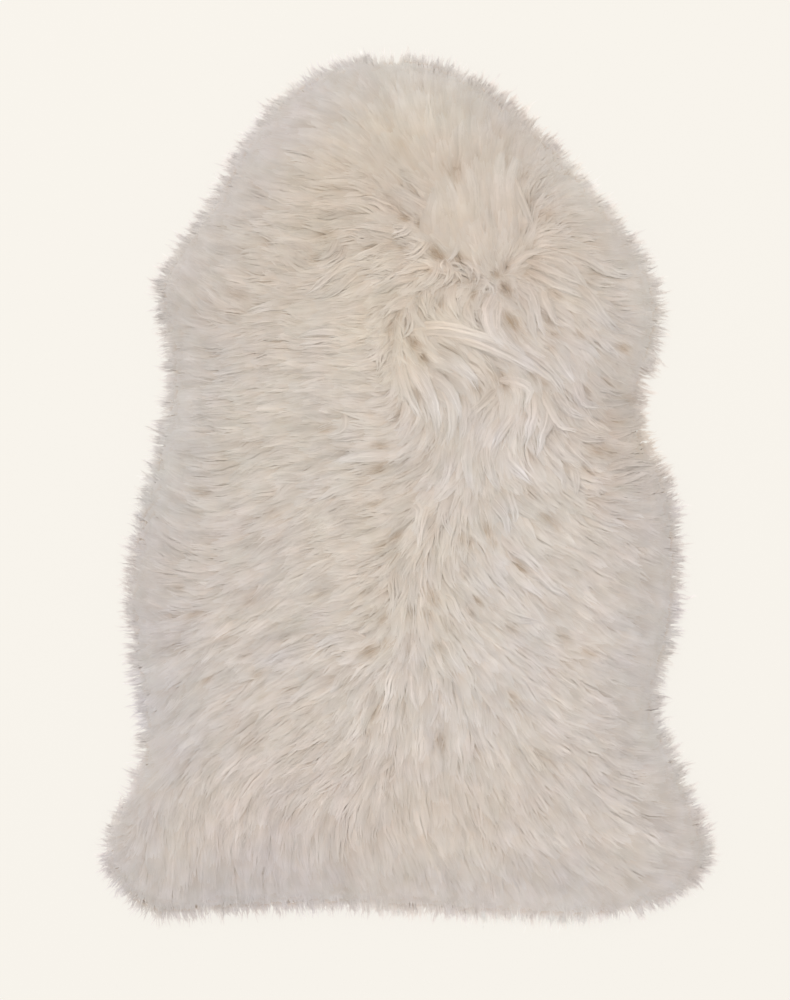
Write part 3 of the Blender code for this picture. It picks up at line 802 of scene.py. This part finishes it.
def ribbon_mesh(name, pts, colour, rows, normals):
    """One mesh of many ribbons. pts (n, 2s+1, 3), colour (n, 2s+1, 3), rows: bake row of each."""
    n, per, _ = pts.shape
    seg = (per - 1) // 2
    mesh = bpy.data.meshes.new(name)
    quads, base = seg - 1, np.arange(n) * per
    loops, starts, totals = [], [], []
    qi = np.arange(quads)
    quad = np.stack([2 * qi, 2 * qi + 2, 2 * qi + 3, 2 * qi + 1], -1)             # (quads, 4)
    tri = np.array([2 * quads, 2 * quads + 2, 2 * quads + 1])
    local = np.concatenate([quad.ravel(), tri])
    loops = (base[:, None] + local[None, :]).ravel().astype(np.int32)
    ltot = np.tile(np.array([4] * quads + [3]), n)
    lstart = np.r_[0, np.cumsum(ltot)[:-1]]
    mesh.vertices.add(n * per)
    mesh.vertices.foreach_set("co", pts.astype(np.float32).ravel())
    mesh.loops.add(len(loops))
    mesh.loops.foreach_set("vertex_index", loops)
    mesh.polygons.add(len(ltot))
    mesh.polygons.foreach_set("loop_start", lstart.astype(np.int32))
    mesh.polygons.foreach_set("loop_total", ltot.astype(np.int32))
    mesh.polygons.foreach_set("use_smooth", np.ones(len(ltot), bool))
    tint = mesh.attributes.new("tint", "FLOAT_COLOR", "POINT")
    rgba = np.concatenate([colour, np.ones(colour.shape[:2] + (1,))], -1)
    tint.data.foreach_set("color", rgba.astype(np.float32).ravel())
    # a map for the finish: along each ribbon to the right, one thin row a ribbon
    u = np.repeat(np.linspace(0.02, 0.98, seg + 1), 2)[:per]
    v0 = (rows + 0.5) / 1024.0
    vv = np.where(np.arange(per) % 2 == 0, -0.45, 0.45) / 1024.0
    vv[-1] = 0.0
    uv = np.stack([np.broadcast_to(u, (n, per)), v0[:, None] + vv[None, :]], -1)
    layer = mesh.uv_layers.new(name="OFBake")
    flat = uv.reshape(-1, 2)[loops]
    layer.data.foreach_set("uv", flat.astype(np.float32).ravel())
    mesh.update(calc_edges=True)
    mesh.validate()
    mesh.normals_split_custom_set_from_vertices(normals.reshape(-1, 3).astype(np.float32))
    obj = bpy.data.objects.new(name, mesh)
    bpy.context.scene.collection.objects.link(obj)
    return obj


# ---------------------------------------------------------------------------------------
# Materials
# ---------------------------------------------------------------------------------------
def wool_material():
    mat = bpy.data.materials.new("wool_fibre")
    mat.use_nodes = True
    nt = mat.node_tree
    shader = nt.nodes["Principled BSDF"]
    tint = nt.nodes.new("ShaderNodeAttribute")
    tint.attribute_name = "tint"
    coord = nt.nodes.new("ShaderNodeTexCoord")
    cloud = nt.nodes.new("ShaderNodeTexNoise")
    cloud.inputs["Scale"].default_value = 55.0
    cloud.inputs["Detail"].default_value = 3.0
    ramp = nt.nodes.new("ShaderNodeValToRGB")
    ramp.color_ramp.elements[0].position = 0.30
    ramp.color_ramp.elements[0].color = (0.955, 0.945, 0.93, 1)
    ramp.color_ramp.elements[1].position = 0.70
    ramp.color_ramp.elements[1].color = (1.0, 1.0, 1.0, 1)
    mix = nt.nodes.new("ShaderNodeMix")
    mix.data_type = "RGBA"
    mix.blend_type = "MULTIPLY"
    mix.inputs["Factor"].default_value = 1.0
    nt.links.new(coord.outputs["Object"], cloud.inputs["Vector"])
    nt.links.new(cloud.outputs["Fac"], ramp.inputs["Fac"])
    nt.links.new(tint.outputs["Color"], mix.inputs["A"])
    nt.links.new(ramp.outputs["Color"], mix.inputs["B"])
    nt.links.new(mix.outputs["Result"], shader.inputs["Base Color"])
    shader.inputs["Roughness"].default_value = 0.55
    shader.inputs["Specular IOR Level"].default_value = 0.25
    shader.inputs["Sheen Weight"].default_value = 0.15
    shader.inputs["Sheen Roughness"].default_value = 0.5
    # thin wool lets light through
    through = nt.nodes.new("ShaderNodeBsdfTranslucent")
    blend = nt.nodes.new("ShaderNodeMixShader")
    blend.inputs[0].default_value = WOOL_THROUGH
    nt.links.new(mix.outputs["Result"], through.inputs["Color"])
    nt.links.new(shader.outputs["BSDF"], blend.inputs[1])
    nt.links.new(through.outputs["BSDF"], blend.inputs[2])
    nt.links.new(blend.outputs["Shader"], nt.nodes["Material Output"].inputs["Surface"])
    return mat


def fleece_material():
    mat = bpy.data.materials.new("fleece_base")
    mat.use_nodes = True
    nt = mat.node_tree
    shader = nt.nodes["Principled BSDF"]
    coord = nt.nodes.new("ShaderNodeTexCoord")
    noise = nt.nodes.new("ShaderNodeTexNoise")
    noise.inputs["Scale"].default_value = 160.0
    noise.inputs["Detail"].default_value = 4.0
    ramp = nt.nodes.new("ShaderNodeValToRGB")
    # painted shade: the fleece is coloured darker than the wool, as wool looks in shade deep in the coat
    ramp.color_ramp.elements[0].position = 0.30
    ramp.color_ramp.elements[0].color = (0.70, 0.635, 0.575, 1)
    ramp.color_ramp.elements[1].position = 0.72
    ramp.color_ramp.elements[1].color = (0.78, 0.72, 0.665, 1)
    bump = nt.nodes.new("ShaderNodeBump")
    bump.inputs["Strength"].default_value = 0.8
    bump.inputs["Distance"].default_value = 0.002
    nt.links.new(coord.outputs["Object"], noise.inputs["Vector"])
    nt.links.new(noise.outputs["Fac"], ramp.inputs["Fac"])
    nt.links.new(ramp.outputs["Color"], shader.inputs["Base Color"])
    nt.links.new(noise.outputs["Fac"], bump.inputs["Height"])
    nt.links.new(bump.outputs["Normal"], shader.inputs["Normal"])
    shader.inputs["Roughness"].default_value = 0.9
    return mat


def suede_material():
    mat = bpy.data.materials.new("suede_hide")
    mat.use_nodes = True
    nt = mat.node_tree
    shader = nt.nodes["Principled BSDF"]
    coord = nt.nodes.new("ShaderNodeTexCoord")
    cloud = nt.nodes.new("ShaderNodeTexNoise")
    cloud.inputs["Scale"].default_value = 14.0
    cloud.inputs["Detail"].default_value = 6.0
    cloud.inputs["Roughness"].default_value = 0.6
    ramp = nt.nodes.new("ShaderNodeValToRGB")
    ramp.color_ramp.elements[0].position = 0.32
    ramp.color_ramp.elements[0].color = (0.56, 0.49, 0.40, 1)
    ramp.color_ramp.elements[1].position = 0.70
    ramp.color_ramp.elements[1].color = (0.72, 0.66, 0.57, 1)
    nap = nt.nodes.new("ShaderNodeTexNoise")
    nap.inputs["Scale"].default_value = 900.0
    nap.inputs["Detail"].default_value = 3.0
    bump = nt.nodes.new("ShaderNodeBump")
    bump.inputs["Strength"].default_value = 0.35
    bump.inputs["Distance"].default_value = 0.0006
    nt.links.new(coord.outputs["Object"], cloud.inputs["Vector"])
    nt.links.new(coord.outputs["Object"], nap.inputs["Vector"])
    nt.links.new(cloud.outputs["Fac"], ramp.inputs["Fac"])
    nt.links.new(ramp.outputs["Color"], shader.inputs["Base Color"])
    nt.links.new(nap.outputs["Fac"], bump.inputs["Height"])
    nt.links.new(bump.outputs["Normal"], shader.inputs["Normal"])
    shader.inputs["Roughness"].default_value = 0.95
    shader.inputs["Sheen Weight"].default_value = 0.3
    return mat


WOOL, FLEECE, SUEDE = wool_material(), fleece_material(), suede_material()


# ---------------------------------------------------------------------------------------
# Hide and fleece base
# ---------------------------------------------------------------------------------------
def grid_sheet(name, inset, cell, top_of, bottom_z):
    """A closed plate inside the outline's inset line: a grid on top, its rim snapped to the
    line, and a flat underside."""
    xs = np.arange(GX[0], GX[-1], cell)
    ys = np.arange(GY[0], GY[-1], cell)
    X, Y = np.meshgrid(xs, ys)
    D = sample(DIST, X, Y) - inset
    inside = D > 0
    cellin = inside[:-1, :-1] & inside[1:, :-1] & inside[:-1, 1:] & inside[1:, 1:]
    anyin = inside[:-1, :-1] | inside[1:, :-1] | inside[:-1, 1:] | inside[1:, 1:]
    # keep cells with at least two corners in; snap their outside corners to the line
    count = (inside[:-1, :-1].astype(int) + inside[1:, :-1] + inside[:-1, 1:] + inside[1:, 1:])
    keep = anyin & (count >= 2)
    # a cell that touches others only at a corner would pinch the rim
    for _ in range(4):
        pad = np.pad(keep, 1)
        n4 = pad[:-2, 1:-1].astype(int) + pad[2:, 1:-1] + pad[1:-1, :-2] + pad[1:-1, 2:]
        keep &= n4 >= 2
    used = np.zeros(X.shape, bool)
    used[:-1, :-1] |= keep
    used[1:, :-1] |= keep
    used[:-1, 1:] |= keep
    used[1:, 1:] |= keep
    # rim vertices: used, but not surrounded by four kept cells
    pad = np.pad(keep, 1)
    around = (pad[:-1, :-1].astype(int) + pad[1:, :-1] + pad[:-1, 1:] + pad[1:, 1:])
    rim = used & (around < 4)
    Xs, Ys = X.copy(), Y.copy()
    for _ in range(4):
        d = sample(DIST, Xs, Ys) - inset
        ox, oy = sample(OUT_X, Xs, Ys), sample(OUT_Y, Xs, Ys)
        Xs = np.where(rim, Xs + ox * d, Xs)
        Ys = np.where(rim, Ys + oy * d, Ys)
    Z = top_of(Xs, Ys)
    bm = bmesh.new()
    top, low = {}, {}
    for j, i in zip(*np.nonzero(used)):
        top[j, i] = bm.verts.new((Xs[j, i], Ys[j, i], Z[j, i]))
    for j, i in zip(*np.nonzero(rim)):
        low[j, i] = bm.verts.new((Xs[j, i], Ys[j, i], bottom_z))
    for j, i in zip(*np.nonzero(keep)):
        bm.faces.new((top[j, i], top[j, i + 1], top[j + 1, i + 1], top[j + 1, i]))
    rim_edges = [e for e in bm.edges if len(e.link_faces) == 1]
    link = {}
    at = {v: k for k, v in top.items()}
    for e in rim_edges:
        f = e.link_faces[0]
        for l in f.loops:
            if l.edge == e:
                a, b = l.vert, l.link_loop_next.vert
        link[at[a]] = at[b]
        bm.faces.new((b, a, low[at[a]], low[at[b]]))
    # the underside is one flat face a loop
    todo = set(link)
    while todo:
        start = todo.pop()
        loop, k = [start], link[start]
        while k != start:
            loop.append(k)
            todo.discard(k)
            k = link[k]
        bm.faces.new([low[k] for k in reversed(loop)])
    bmesh.ops.triangulate(bm, faces=[f for f in bm.faces if len(f.verts) > 4])
    bmesh.ops.recalc_face_normals(bm, faces=bm.faces)
    mesh = bpy.data.meshes.new(name)
    bm.to_mesh(mesh)
    bm.free()
    mesh.shade_smooth()
    mesh.set_sharp_from_angle(angle=math.radians(50))
    obj = bpy.data.objects.new(name, mesh)
    bpy.context.scene.collection.objects.link(obj)
    area = float(sum(p.area for p in mesh.polygons if abs(p.normal.z) > 0.9)) / 2
    return obj, area


hide, hide_area = grid_sheet(
    "hide", HIDE_INSET, 0.009,
    lambda x, y: np.full(x.shape, 0.0003 + HIDE_T), 0.0003)
hide.data.materials.append(SUEDE)


def fleece_top(x, y):
    d = sample(DIST, x, y)
    h = wool_height(x, y)
    return np.maximum(0.0052, h * (0.80 + 0.145 * smooth((d - 0.010) / 0.014)) - 0.0008
                      + 0.0006 * vnoise(x, y, 0.011, 31))


fleece, _ = grid_sheet("fleece_base", 0.0120, 0.006, fleece_top, HIDE_T + 0.0008)
fleece.data.materials.append(FLEECE)

# ---------------------------------------------------------------------------------------
# Wool
# ---------------------------------------------------------------------------------------
def coloured(pts, tau, shade, lock, deep=1.0):
    """Colours of ribbon points from where they are, how far along and the ribbon's shade."""
    tau2 = np.repeat(tau, 2, axis=1)[:, : pts.shape[1]]
    tau2[:, -1] = tau[:, -1]
    shade = np.broadcast_to(shade if shade.ndim == 2 else shade[:, None], tau2.shape)
    return wool_colour(pts[..., 0], pts[..., 1], tau2, shade,
                       PALENESS[lock][:, None], (COVERED[lock] * deep)[:, None])


def fill_places(pts, n):
    """Where the coat is thinnest: n places, and for each the nearest lock, how far along it
    the place is and how far across."""
    cell = 0.003
    mid = 0.5 * (pts[:, 0:-1:2] + pts[:, 1:-1:2])
    tip = pts[:, -1:]
    line = np.concatenate([mid, 0.5 * (mid[:, 1:] + mid[:, :-1]), 0.5 * (mid[:, -1:] + tip)], 1).reshape(-1, 3)
    line = line[line[:, 2] > fleece_top(line[:, 0], line[:, 1])]
    nx, ny = int(0.72 / cell), int(0.98 / cell)
    ix = np.clip(((line[:, 0] + 0.36) / cell).astype(int), 0, nx - 1)
    iy = np.clip(((line[:, 1] + 0.49) / cell).astype(int), 0, ny - 1)
    grid = np.zeros((ny, nx))
    np.add.at(grid, (iy, ix), 1.0)
    p = np.pad(grid, 1)
    grid = sum(p[j:j + ny, i:i + nx] for j in range(3) for i in range(3)) / 9
    cx, cy = np.meshgrid((np.arange(nx) + 0.5) * cell - 0.36, (np.arange(ny) + 0.5) * cell - 0.49)
    inside = sample(DIST, cx, cy) > 0.003
    usual = np.median(grid[inside])
    want = np.where(inside, np.clip(0.75 - grid / usual, 0, 1) ** 1.5, 0).ravel()
    at = rng.choice(len(want), n, p=want / want.sum())
    x = cx.ravel()[at] + rng.uniform(-0.5, 0.5, n) * cell
    y = cy.ravel()[at] + rng.uniform(-0.5, 0.5, n) * cell
    steps = np.arange(K + 1)
    ok = (steps[None, :] / K <= END[:, None]) & (steps[None, :] > 1) & ((KIND < 2) & (TOPNESS > 0.93))[:, None]
    li, ki = np.nonzero(ok)
    tree = KDTree(len(li))
    for j, (a, b) in enumerate(PATH[li, ki]):
        tree.insert((a, b, 0.0), j)
    tree.balance()
    near = np.array([tree.find((a, b, 0.0))[1] for a, b in zip(x, y)])
    lock, step = li[near], ki[near]
    t = step / K
    d = PATH[lock, np.minimum(step + 1, K)] - PATH[lock, step - 1]
    d /= np.linalg.norm(d, axis=1, keepdims=True) + 1e-12
    off = np.c_[x, y] - PATH[lock, step]
    t = t + (off * d).sum(1) / length[lock]
    u = off[:, 1] * d[:, 0] - off[:, 0] * d[:, 1]
    tau, c = t / END[lock], GATHER[lock]
    full = SIZE[lock] * smooth(tau / 0.35 + 0.45) * (
        1 - (0.20 + 0.55 * c) * np.clip((tau - 0.35) / 0.65, 0, 1) ** 1.3)
    return lock, t, u / full


total = STRANDS_PER_PIECE * WOOL_PIECES
weight = (0.35 + 0.65 * np.clip(END, 0, 1)) * length * SIZE * np.where(main, 2.8, 1.0) * (KIND != 3)
weight = weight / weight.sum()
lock_of = rng.choice(NL, total, p=weight)       # every piece gets wool from all over the rug
end = END[lock_of]
t_last = end * (1 - 0.42 * rng.random(total) ** 1.3)
stray = np.minimum(rng.exponential(RIM_HAIR, total), 0.020) / length[lock_of]   # past the lock's own end
t_last = np.where(end < 0.999, np.minimum(t_last + stray, 1.0), t_last)
t_first = np.maximum(t_last - 0.86 * rng.uniform(0.85, 1.1, total), 0.0)
many = KIND[lock_of] == 2                       # the main locks are made of more, finer tufts
bundle = np.where(many, rng.integers(0, 11, total), rng.integers(0, 3, total))
tufts = np.where(many, (bundle - 5) * 0.19, (bundle - 1) * 0.62) + rng.normal(0, 0.04, total)
spread = np.clip(rng.normal(0, 0.55, total), -1.3, 1.3) * np.where(many, 0.22 + 0.7 * SLEEK[lock_of], 1.0)
bundle_shade = np.clip(rng.normal(0, 1, (NL, 11)), -2, 2)[lock_of, bundle]
lift = rng.random(total)
half = FIBRE_HALF * np.interp(lift, [0, 0.5, 1], [2.4, 1.65, 1.2]) * rng.uniform(0.8, 1.2, total)
half = half * (1 + 0.70 * SLEEK[lock_of]) * np.where(many, 0.71 + 0.29 * SLEEK[lock_of], 1.0)
tip = along(PATH, lock_of, t_last[:, None])[:, 0]
half = half * (0.45 + 0.55 * smooth((sample(DIST, tip[:, 0], tip[:, 1]) - 0.002) / 0.016))   # finer at the edge
loose = many * (1 - SLEEK[lock_of])
sway = (0.0009 * loose, rng.uniform(0, 6.28, (NL, 11))[lock_of, bundle], rng.uniform(0.018, 0.034, (NL, 11))[lock_of, bundle],
        0.00065 * rng.normal(0, 1, (NL, 11))[lock_of, bundle] * loose)
pts, tau, nrm = make_strands(lock_of, SEGMENTS, t_first, t_last, tufts, spread, lift, half, sway)
sleek = SLEEK[lock_of]
shade = (LOCK_SHADE * SHADE[lock_of] + bundle_shade * np.where(many, 0.045, 0.024)) * (1 - 0.45 * sleek)
# painted shade: ribbons low in a lock darker, those on top lighter, more so in the main locks
shade = shade + (FIBRE_SHADE * rng.normal(0, 1, total) + (0.018 + 0.020 * many) * (lift - 0.45)) * (1 - 0.8 * sleek)
# ribbons low in a lock take more of a parting's painted shade
col = coloured(pts, tau, shade, lock_of, 1.4 - 0.9 * lift)
col *= 1 + (lift - 0.5)[:, None, None] * np.array([0.000, 0.003, 0.010])      # painted shade: warmer deeper down in the lock, cooler on top
rows = palette_row(shade)
wool = []
for i in range(WOOL_PIECES):
    sl = slice(i * STRANDS_PER_PIECE, (i + 1) * STRANDS_PER_PIECE)
    piece = ribbon_mesh(f"wool_{i + 1}", pts[sl], col[sl], rows[sl], nrm[sl])
    piece.data.materials.append(WOOL)
    wool.append(piece)

# Wool over the places that the locks leave thin
n = FILL_STRANDS
lock_of, t_mid, sub = fill_places(pts, n)
t_first = np.maximum(t_mid - rng.uniform(0.30, 0.50, n), 0.0)
t_last = np.minimum(t_mid + rng.uniform(0.12, 0.45, n), np.maximum(END[lock_of], t_first + 0.1))
lift = rng.uniform(0.0, 0.8, n)
pts, tau, nrm = make_strands(lock_of, SEGMENTS, t_first, t_last, sub + rng.normal(0, 0.1, n), np.zeros(n), lift,
                             FIBRE_HALF * np.interp(lift, [0, 1], [2.0, 0.9]) * rng.uniform(0.8, 1.2, n))
shade = LOCK_SHADE * SHADE[lock_of] * 0.6 + rng.normal(0, FIBRE_SHADE, n) - 0.01
fill = ribbon_mesh("wool_fill", pts, coloured(pts, tau, shade, lock_of), palette_row(shade), nrm)
fill.data.materials.append(WOOL)

# The rim: short wool that closes the coat along its outline
rim = np.flatnonzero((KIND == 3) & (END < 0.999))
n = RIM_STRANDS
lock_of = rng.choice(rim, n)
t_last = END[lock_of] * (1 - 0.25 * rng.random(n) ** 2)
t_last = np.minimum(t_last + np.minimum(rng.exponential(RIM_HAIR, n), 0.020) / length[lock_of], 1.0)
t_first = np.maximum(t_last - rng.uniform(0.012, 0.020, n) / length[lock_of], 0.0)
lift = rng.random(n)
pts, tau, nrm = make_strands(lock_of, 3, t_first, t_last, rng.uniform(-1, 1, n), rng.normal(0, 0.3, n),
                             lift, FIBRE_HALF * np.interp(lift, [0, 1], [1.5, 0.8]) * rng.uniform(0.8, 1.2, n))
shade = LOCK_SHADE * SHADE[lock_of] * 0.5 + rng.normal(0, FIBRE_SHADE, n)
rim_wool = ribbon_mesh("wool_rim", pts, coloured(pts, tau, shade, lock_of), palette_row(shade), nrm)
rim_wool.data.materials.append(WOOL)

# The soft fringe: fine hair that runs out past the coat all round, in small pointed tufts
near = np.flatnonzero((END < 0.999) & (END > 0.18) & ((1 - END) * length > 0.017) & ~main)
n, m = FRINGE_STRANDS, FRINGE_TUFTS
tuft_lock, tuft_at = rng.choice(near, m), rng.uniform(-1, 1, m)
tuft_out = RIM_DEPTH + np.clip(rng.normal(0.0052, 0.0068, m), -0.004, 0.0185)      # how far each runs out
tuft_of = rng.integers(0, m, n)
lock_of = tuft_lock[tuft_of]
out = tuft_out[tuft_of] * rng.uniform(0.5, 1.05, n) + rng.normal(0, 0.0006, n)
t_last = np.minimum(END[lock_of] + out / length[lock_of], 1.0)
t_first = np.maximum(t_last - rng.uniform(0.012, 0.024, n) / length[lock_of], 0.0)
pts, tau, nrm = make_strands(lock_of, 3, t_first, t_last, tuft_at[tuft_of] + rng.normal(0, 0.05, n),
                             rng.normal(0, 0.22, n), rng.random(n), rng.uniform(0.00016, 0.00036, n))
tips = np.zeros((m, 3))
np.add.at(tips, tuft_of, pts[:, -1])
tips /= np.bincount(tuft_of, minlength=m)[:, None] + 1e-9
draw = (np.repeat(np.linspace(0, 1, 4), 2)[:7] ** 1.5 * 0.85)[None, :, None]    # tips drawn together
shift = (tips[tuft_of] - pts[:, -1])[:, None, :] * draw
along_it = pts[:, -1] - pts[:, 0]
along_it /= np.linalg.norm(along_it, axis=1, keepdims=True) + 1e-9
shift -= (shift * along_it[:, None, :]).sum(2, keepdims=True) * along_it[:, None, :]
pts = pts + shift
pts[..., 2] = np.maximum(pts[..., 2], 0.0006)
nrm = nrm * 0.4 + np.array([0, 0, 0.6])                 # hair this fine is lit from all round
nrm /= np.linalg.norm(nrm, axis=2, keepdims=True)
shade = 0.02 + 0.06 * rng.normal(0, 1, m)[tuft_of] + rng.normal(0, 0.03, n)     # white tufts among darker ones
stronger = np.repeat(np.linspace(0.15, 1.1, 4), 2)[None, :7]                     # most of all at their tips
fringe = ribbon_mesh("fringe", pts, coloured(pts, tau, shade[:, None] * stronger, lock_of), palette_row(shade), nrm)
fringe.data.materials.append(WOOL)

# Single hairs that lie over the coat
n = STRAY_HAIRS
lock_of = rng.choice(np.flatnonzero(~main & (root_d > 0.03)), n)
t_last = END[lock_of] * rng.uniform(0.7, 1.0, n)
t_first = np.maximum(t_last - rng.uniform(0.35, 0.7, n), 0)
_keep_lift = LIFT.copy()
LIFT[:] = 0.0016
pts, tau, nrm = make_strands(lock_of, SEGMENTS, t_first, t_last, rng.normal(0, 1.2, n), rng.normal(0, 1.2, n),
                             np.ones(n), rng.uniform(0.00014, 0.00024, n))
LIFT[:] = _keep_lift
rise = np.repeat(np.linspace(0, 1, SEGMENTS + 1), 2)[: 2 * SEGMENTS + 1] ** 1.6
pts[..., 2] += rng.exponential(0.0018, n).clip(0, 0.006)[:, None] * rise[None, :]
# painted highlight: the single hairs lying on top drawn a little lighter
shade = np.full(n, 0.04)
hairs = ribbon_mesh("stray_hairs", pts, coloured(pts, tau, shade, lock_of), palette_row(shade), nrm)
hairs.data.materials.append(WOOL)
wool += [fill, rim_wool, fringe, hairs]

# ---------------------------------------------------------------------------------------
# Onto the frame
# ---------------------------------------------------------------------------------------
for piece in [hide, fleece, *wool]:
    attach(piece, "root")
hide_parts("sheepskin")

# ---------------------------------------------------------------------------------------
# Floor, light and camera
# ---------------------------------------------------------------------------------------
PALE = (0.930, 0.896, 0.831)                   # the floor and what is behind it, linear

bpy.ops.mesh.primitive_plane_add(size=120.0, location=(0, 0, 0))
floor = bpy.context.active_object
floor.name = "floor"
fm = bpy.data.materials.new("pale_floor")
fm.use_nodes = True
fs = fm.node_tree.nodes["Principled BSDF"]
fs.inputs["Base Color"].default_value = (PALE[0] * 0.10, PALE[1] * 0.10, PALE[2] * 0.10, 1)
fs.inputs["Roughness"].default_value = 1.0
fs.inputs["Specular IOR Level"].default_value = 0.0
fs.inputs["Emission Color"].default_value = (PALE[0], PALE[1] + 0.002, PALE[2] + 0.010, 1)
fs.inputs["Emission Strength"].default_value = 0.878
floor.data.materials.append(fm)

world = bpy.data.worlds.new("studio")
bpy.context.scene.world = world
world.use_nodes = True
bg = world.node_tree.nodes.get("Background") or world.node_tree.nodes.new("ShaderNodeBackground")
bg.inputs["Color"].default_value = (*PALE, 1)
bg.inputs["Strength"].default_value = 1.0


def area_light(name, location, size, energy, colour=(1, 1, 1)):
    data = bpy.data.lights.new(name, "AREA")
    data.shape = "RECTANGLE"
    data.size, data.size_y = size
    data.energy = energy
    data.color = colour
    obj = bpy.data.objects.new(name, data)
    bpy.context.scene.collection.objects.link(obj)
    obj.location = location
    obj.rotation_mode = "QUATERNION"
    obj.rotation_quaternion = (-Vector(location)).to_track_quat("-Z", "Y")
    return obj


area_light("soft_box", (-0.5, 0.9, 2.7), (2.4, 2.4), 40.5, (1.0, 0.99, 0.97))

cam_data = bpy.data.cameras.new("camera")
cam_data.lens = 85.0
cam_data.sensor_width = 36.0
cam_data.clip_end = 200.0
cam = bpy.data.objects.new("camera", cam_data)
bpy.context.scene.collection.objects.link(cam)
cam.location = (-0.0119, -0.0124, 2.462)
cam.rotation_euler = (0, 0, 0)
bpy.context.scene.camera = cam
bpy.context.scene.view_settings.view_transform = "Standard"
bpy.context.scene.view_settings.look = "None"
